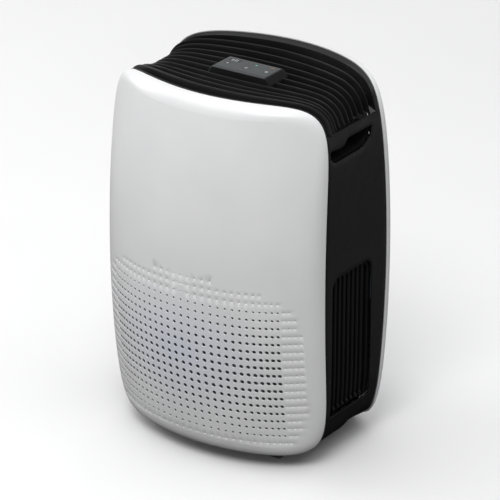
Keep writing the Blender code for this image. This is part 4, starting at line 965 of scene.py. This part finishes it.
def make_controls():
    """The raised control block with its plate, display and three keys."""
    half_x, half_y = CONTROL_HALF
    middle, top = y_of(CONTROL_CENTRE_DEPTH), CONTROL_TOP_Z

    def on_plate(a, b, h):
        return a, middle + b, top + h

    rim = [(0.0092, 0.0030, 0.0037, -0.0463, 0.0035), (0.0092, 0.0030, 0.0037, -0.0105, 0.0035),
           (0.0086, 0.0030, 0.0036, -0.0094, 0.0035), (0.0060, 0.0029, 0.0032, -0.0052, 0.0032),
           (0.0036, 0.0028, 0.0028, -0.0024, 0.0028), (0.0028, 0.0026, 0.0024, -0.0014, 0.0026),
           (0.0020, 0.0018, 0.0018, -0.0008, 0.0022), (0.0012, 0.0010, 0.0012, -0.0006, 0.0018),
           (0.0004, 0.0004, 0.0004, -0.0008, 0.0015), (0.0004, 0.0004, 0.0004, -0.0060, 0.0015),
           (-0.0030, -0.0030, -0.0030, -0.0060, 0.0012), (-0.0030, -0.0030, -0.0030, -0.0463, 0.0012)]
    rings = [[on_plate(a, b, h) for a, b in plan(half_x + side, half_y + front, half_y + rear, corner)]
             for side, front, rear, h, corner in rim]
    housing = Mesh()
    housing.loft(rings, wrap=True)
    piece("control_surround", housing.points, housing.faces, "black_satin", "housing", ("control_housing",))
    lip = Mesh()
    lip_half = half_x + 0.0004
    lip.loft([[on_plate(a, b, h)
               for a, b in ((-lip_half, -half_y - y0), (lip_half, -half_y - y0),
                            (lip_half, -half_y - y1), (-lip_half, -half_y - y1))]
              for h, y0, y1 in ((-0.0016, 0.0032, 0.0008), (-0.0009, 0.0031, 0.0007),
                                (-0.0003, 0.0026, 0.0008))])
    piece("control_lip", lip.points, lip.faces, "grey_plate", "housing")

    holes = [Opening([(x + a, y + b) for a, b in circle(0.0050, 32)],
                     [[on_plate(x + a, y + b, -0.0003) for a, b in circle(0.0048, 32)]])
             for _, x, y in BUTTONS]
    window = rounded_rectangle(0.0100, -0.0044, 0.0044, 0.0012, 6)
    holes.append(Opening([(DISPLAY[0] + a, DISPLAY[1] + b) for a, b in window],
                         [[on_plate(DISPLAY[0] + a, DISPLAY[1] + b, -0.0003)
                           for a, b in offset_outline(window, -0.0002)]]))
    holes.append(Opening([(LED[0] + a, LED[1] + b) for a, b in circle(0.0016, 20)],
                         [[on_plate(LED[0] + a, LED[1] + b, -0.0002) for a, b in circle(0.0015, 20)]]))
    edge = rounded_rectangle(half_x - 0.0005, -half_y + 0.0005, half_y - 0.0005, 0.0015, 6, 10)
    fill = [(mix(-half_x, half_x, i / 24), mix(-half_y, half_y, j / 12))
            for i in range(1, 24) for j in range(1, 12)]
    fill = [p for p in fill if not any(hole.near(p, 0.0012) for hole in holes)]
    sheet("plate", edge, holes, fill, lambda a, b: on_plate(a, b, 0.0), lambda a, b: on_plate(a, b, -0.0030),
          "grey_plate", "housing", ("control_plate",),
          rim=[[on_plate(a, b, h) for a, b in offset_outline(edge, grow)]
               for grow, h in ((0.0003, -0.0001), (0.0005, -0.0005), (0.0005, -0.0030))])
    make_display(on_plate)
    for name, x, y in BUTTONS:
        make_button(name, x, middle + y, top)


def plan(half_x, front, rear, corner):
    """A rounded rectangle whose front and rear sides stand at different distances."""
    return rounded_rectangle(half_x, -front, rear, corner, 5, 6)


def make_display(on_plate):
    """Dark pane with two generic digits, the status light and three printed marks."""
    pane = Mesh()
    pane_edge = rounded_rectangle(0.0096, -0.0040, 0.0040, 0.0010, 6)
    pad(pane, [(DISPLAY[0] + a, DISPLAY[1] + b) for a, b in pane_edge], on_plate,
        ((-0.0040, 0.0), (-0.0004, 0.0), (-0.0002, 0.0002)))
    piece("display_pane", pane.points, pane.faces, "smoked_lens", "housing", ("display_lens",))
    digits = Mesh()
    across, up, width = 0.0018, 0.0024, 0.0007
    segments = {"top": ((-across, up), (across, up)), "middle": ((-across, 0), (across, 0)),
                "bottom": ((-across, -up), (across, -up)), "upper_left": ((-across, 0), (-across, up)),
                "upper_right": ((across, 0), (across, up)), "lower_left": ((-across, -up), (-across, 0)),
                "lower_right": ((across, -up), (across, 0))}
    shown = (("top", "upper_left", "middle", "lower_right", "bottom"),
             ("top", "upper_left", "upper_right", "lower_left", "lower_right", "bottom"))
    for shift, names in zip((-0.0040, 0.0020), shown):
        for name in names:
            ends = [(DISPLAY[0] + shift + a, DISPLAY[1] + b) for a, b in segments[name]]
            stroke(digits, ends, width, on_plate, -0.0003, -0.0001)
    piece("display_digits", digits.points, digits.faces, "smoked_lens", "housing", (), PRINT_WHITE)
    led = Mesh()
    turned(led, [(0.0013, -0.0045), (0.0013, -0.0004), (0.0009, -0.0001)], "Z", on_plate(*LED, 0), 20)
    piece("status_light", led.points, led.faces, "smoked_lens", "housing", ("status_led",), LED_GREEN)
    marks = Mesh()
    for shift in (0.0, 0.0030, 0.0060):
        stroke(marks, [(0.0285 + shift, 0.0135), (0.0300 + shift, 0.0135)], 0.0012, on_plate, -0.0001, 0.0001)
    piece("printed_marks", marks.points, marks.faces, "grey_plate", "housing", (), PRINT_AMBER)


def make_button(name, x, y, top):
    """A round key with a shallow dish and its printed symbol, on its own body."""
    body, node = f"{name}_key", f"{name}_button"
    key = Mesh()
    turned(key, [(0.0056, -0.0062), (0.0056, -0.0036), (0.0046, -0.0036), (0.0046, -0.0002), (0.0043, 0.0001),
                 (0.0040, 0.0002), (0.0034, 0.0001), (0.0018, -0.0001)], "Z", (x, y, top), 40)
    piece(f"{name}_cap", key.points, key.faces, "button_grey", body, (node,))
    symbol = Mesh()

    def on_key(a, b, h):
        return x + a, y + b, top + h

    low, high = -0.0002, 0.00018
    if name == "power":
        arc_print(symbol, 0.0019, 0.0005, math.radians(70), on_key, low, high)
        stroke(symbol, [(0, 0.0004), (0, 0.0026)], 0.0005, on_key, low, high)
    elif name == "timer":
        symbol.loft([[on_key(a, b, h) for a, b in ((-0.0016, 0.0012), (0.0, -0.0016), (0.0016, 0.0012))]
                     for h in (low, high)])
    else:
        for turn in range(3):
            angle = math.radians(90 + 120 * turn)
            tip = (0.0021 * math.cos(angle), 0.0021 * math.sin(angle))
            stroke(symbol, [(0, 0), tip], 0.0006, on_key, low, high)
        arc_print(symbol, 0.0023, 0.0004, 0.0, on_key, low, high)
    piece(f"{name}_symbol", symbol.points, symbol.faces, "button_grey", body, (), PRINT_WHITE)


# ---------------------------------------------------------------- casters
def make_casters():
    """Each caster's fork with its axle, and its tyre, on their own bodies."""
    for index, (x, depth) in enumerate(caster_places(), 1):
        y, crown_top = y_of(depth), PAN_Z - 0.0003
        axle = (x, y - CASTER_TRAIL, WHEEL_RADIUS)
        fork = Mesh()
        turned(fork, [(0.0090, crown_top - 0.0036), (0.0125, crown_top - 0.0030),
                      (0.0135, crown_top - 0.0018), (0.0135, crown_top), (0.0030, crown_top),
                      (0.0030, PAN_Z + 0.0028)], "Z", (x, y, 0), 40)
        cheek_in, cheek_out = WHEEL_WIDTH / 2 + 0.0008, WHEEL_WIDTH / 2 + 0.0026
        cheek = smooth_loop([(y + 0.0085, crown_top - 0.0012), (axle[1] - 0.0035, crown_top - 0.0012),
                             (axle[1] - 0.0062, crown_top - 0.006), (axle[1] - 0.0056, axle[2] - 0.002),
                             (axle[1], axle[2] - 0.0058), (axle[1] + 0.0056, axle[2] - 0.002),
                             (y + 0.0070, crown_top - 0.006)], 4)
        for side in (-1, 1):
            inner, outer = x + side * cheek_in, x + side * cheek_out
            fork.loft([[(inner, a, b) for a, b in cheek], [(mix(inner, outer, 0.7), a, b) for a, b in cheek],
                       [(outer, a, b) for a, b in offset_outline(cheek, -0.0005)]])
        turned(fork, [(0.0018, -cheek_out - 0.0008), (0.0026, -cheek_out - 0.0004),
                      (0.0026, -cheek_out + 0.0006), (0.0019, -cheek_out + 0.0006),
                      (0.0019, cheek_out - 0.0006), (0.0026, cheek_out - 0.0006),
                      (0.0026, cheek_out + 0.0004), (0.0018, cheek_out + 0.0008)], "X", axle, 24)
        piece(f"fork_{index}", fork.points, fork.faces, "black_satin", f"caster_{index}",
              (f"caster_fork_{index}",))
        wheel, half = Mesh(), WHEEL_WIDTH / 2
        tyre = [(0.0022, -half + 0.0016), (0.0075, -half + 0.0016), (0.0085, -half + 0.0004), (0.0115, -half)]
        tyre += [(WHEEL_RADIUS - 0.0022 * (1 - math.sin(a)), -half + 0.0022 * (1 - math.cos(a)))
                 for a in (math.radians(15 * i) for i in range(7))]
        wheel_profile = tyre + [(radius, -height) for radius, height in tyre[::-1]]
        turned(wheel, wheel_profile, "X", axle, 56, wrap=True)
        piece(f"wheel_{index}_tyre", wheel.points, wheel.faces, "rubber_black", f"wheel_{index}",
              (f"caster_wheel_{index}",))


# ---------------------------------------------------------------- stage
def make_stage():
    """A wide pale floor, flat all round so that every side can be seen against it."""
    edge = [(a, b, 0.0) for a, b in circle(FLOOR_RADIUS, 96)]
    data = bpy.data.meshes.new("floor")
    data.from_pydata(edge, [], [range(len(edge))])
    floor = bpy.data.objects.new("floor", data)
    data.materials.append(moulded("floor_paint", (0.85, 0.85, 0.853), (0.87, 0.87, 0.873), (0.55, 0.65), 60.0,
                                  0.02, cloud=0.6))
    bpy.context.scene.collection.objects.link(floor)
    floor.visible_diffuse = floor.visible_glossy = floor.visible_shadow = False


def add_light(name, place, size, power):
    """A rectangular lamp that faces the middle of the object."""
    light = bpy.data.lights.new(name, "AREA")
    light.shape, light.size, light.size_y = "RECTANGLE", *size
    light.energy = power
    obj = bpy.data.objects.new(name, light)
    obj.location = place
    obj.rotation_euler = (Vector(place) - Vector(LIGHT_AIM)).to_track_quat("Z", "Y").to_euler()
    bpy.context.scene.collection.objects.link(obj)


LIGHT_AIM, FLOOR_RADIUS = (0, 0, 0.28), 16.0
# (0 straight down, 0.5 horizon, 1 straight up; brightness)
SKY = ((0.0, 0.0), (0.30, 0.0), (0.36, 0.63), (0.499, 0.63), (0.501, 0.85), (0.62, 0.85), (0.70, 0.02),
       (0.80, 0.02), (0.88, 1.38), (1.0, 1.38))


def make_lights():
    """A sky bright overhead and dimmer round the horizon, a broad lamp high in front and one at the left."""
    bpy.context.scene.view_settings.view_transform = "Standard"
    world = bpy.data.worlds.new("studio")
    bpy.context.scene.world = world
    world.use_nodes = True
    tree = world.node_tree
    place = tree.nodes.new("ShaderNodeTexCoord")
    split = tree.nodes.new("ShaderNodeSeparateXYZ")
    height = tree.nodes.new("ShaderNodeMapRange")
    height.inputs["From Min"].default_value = -1.0
    shade = tree.nodes.new("ShaderNodeFloatCurve")
    curve = shade.mapping.curves[0]
    while len(curve.points) < len(SKY):
        curve.points.new(0.5, 0.5)
    for point, (where, value) in zip(curve.points, SKY):
        point.location, point.handle_type = (where, value / SKY[-1][1]), "VECTOR"
    shade.mapping.update()
    scale = tree.nodes.new("ShaderNodeMath")
    scale.operation = "MULTIPLY"
    scale.inputs[1].default_value = SKY[-1][1]
    links = tree.links
    links.new(place.outputs["Generated"], split.inputs["Vector"])
    links.new(split.outputs["Z"], height.inputs["Value"])
    links.new(height.outputs["Result"], shade.inputs["Value"])
    links.new(shade.outputs["Value"], scale.inputs[0])
    links.new(scale.outputs["Value"], tree.nodes["Background"].inputs["Strength"])
    tree.nodes["Background"].inputs["Color"].default_value = (1, 1, 1, 1)
    add_light("key", (0.7, -2.0, 3.2), (1.5, 1.5), 49.5)
    add_light("left", (-3.0, -0.7, 1.6), (1.4, 1.8), 28)


def make_camera():
    """The photograph's viewing angle."""
    azimuth, elevation = math.radians(34.28), math.radians(24.14)
    distance, slide, lift = 4.500, 0.0968, 0.0498
    away = Vector((math.sin(azimuth) * math.cos(elevation), -math.cos(azimuth) * math.cos(elevation),
                   math.sin(elevation)))
    across = Vector((math.cos(azimuth), math.sin(azimuth), 0))
    up = away.cross(across)
    camera = bpy.data.cameras.new("camera")
    camera.lens, camera.sensor_width = 233.67, 36
    camera.clip_end = 50
    obj = bpy.data.objects.new("camera", camera)
    target = Vector((0, y_of(0), CENTRE_Z))
    turn = Matrix((across, up, away)).transposed().to_4x4()
    obj.matrix_world = Matrix.Translation(target + away * distance + across * slide + up * lift) @ turn
    bpy.context.scene.collection.objects.link(obj)
    bpy.context.scene.camera = obj


def paint_cad():
    """Every CAD node that still shows gets its slot's finish."""
    for entry in frame["record"]["subparts"]:
        obj = frame["nodes"][entry["node"]]
        obj.data.materials.clear()
        obj.data.materials.append(FINISHES[entry["material_slot"]])


paint_cad()
make_front()
make_back()
for name, side in SIDES:
    make_flank(name, side)
    make_pocket(name, side)
    make_vent_insert(name, side)
make_top()
make_base()
make_controls()
make_casters()
make_stage()
make_lights()
make_camera()

bpy.context.view_layer.update()
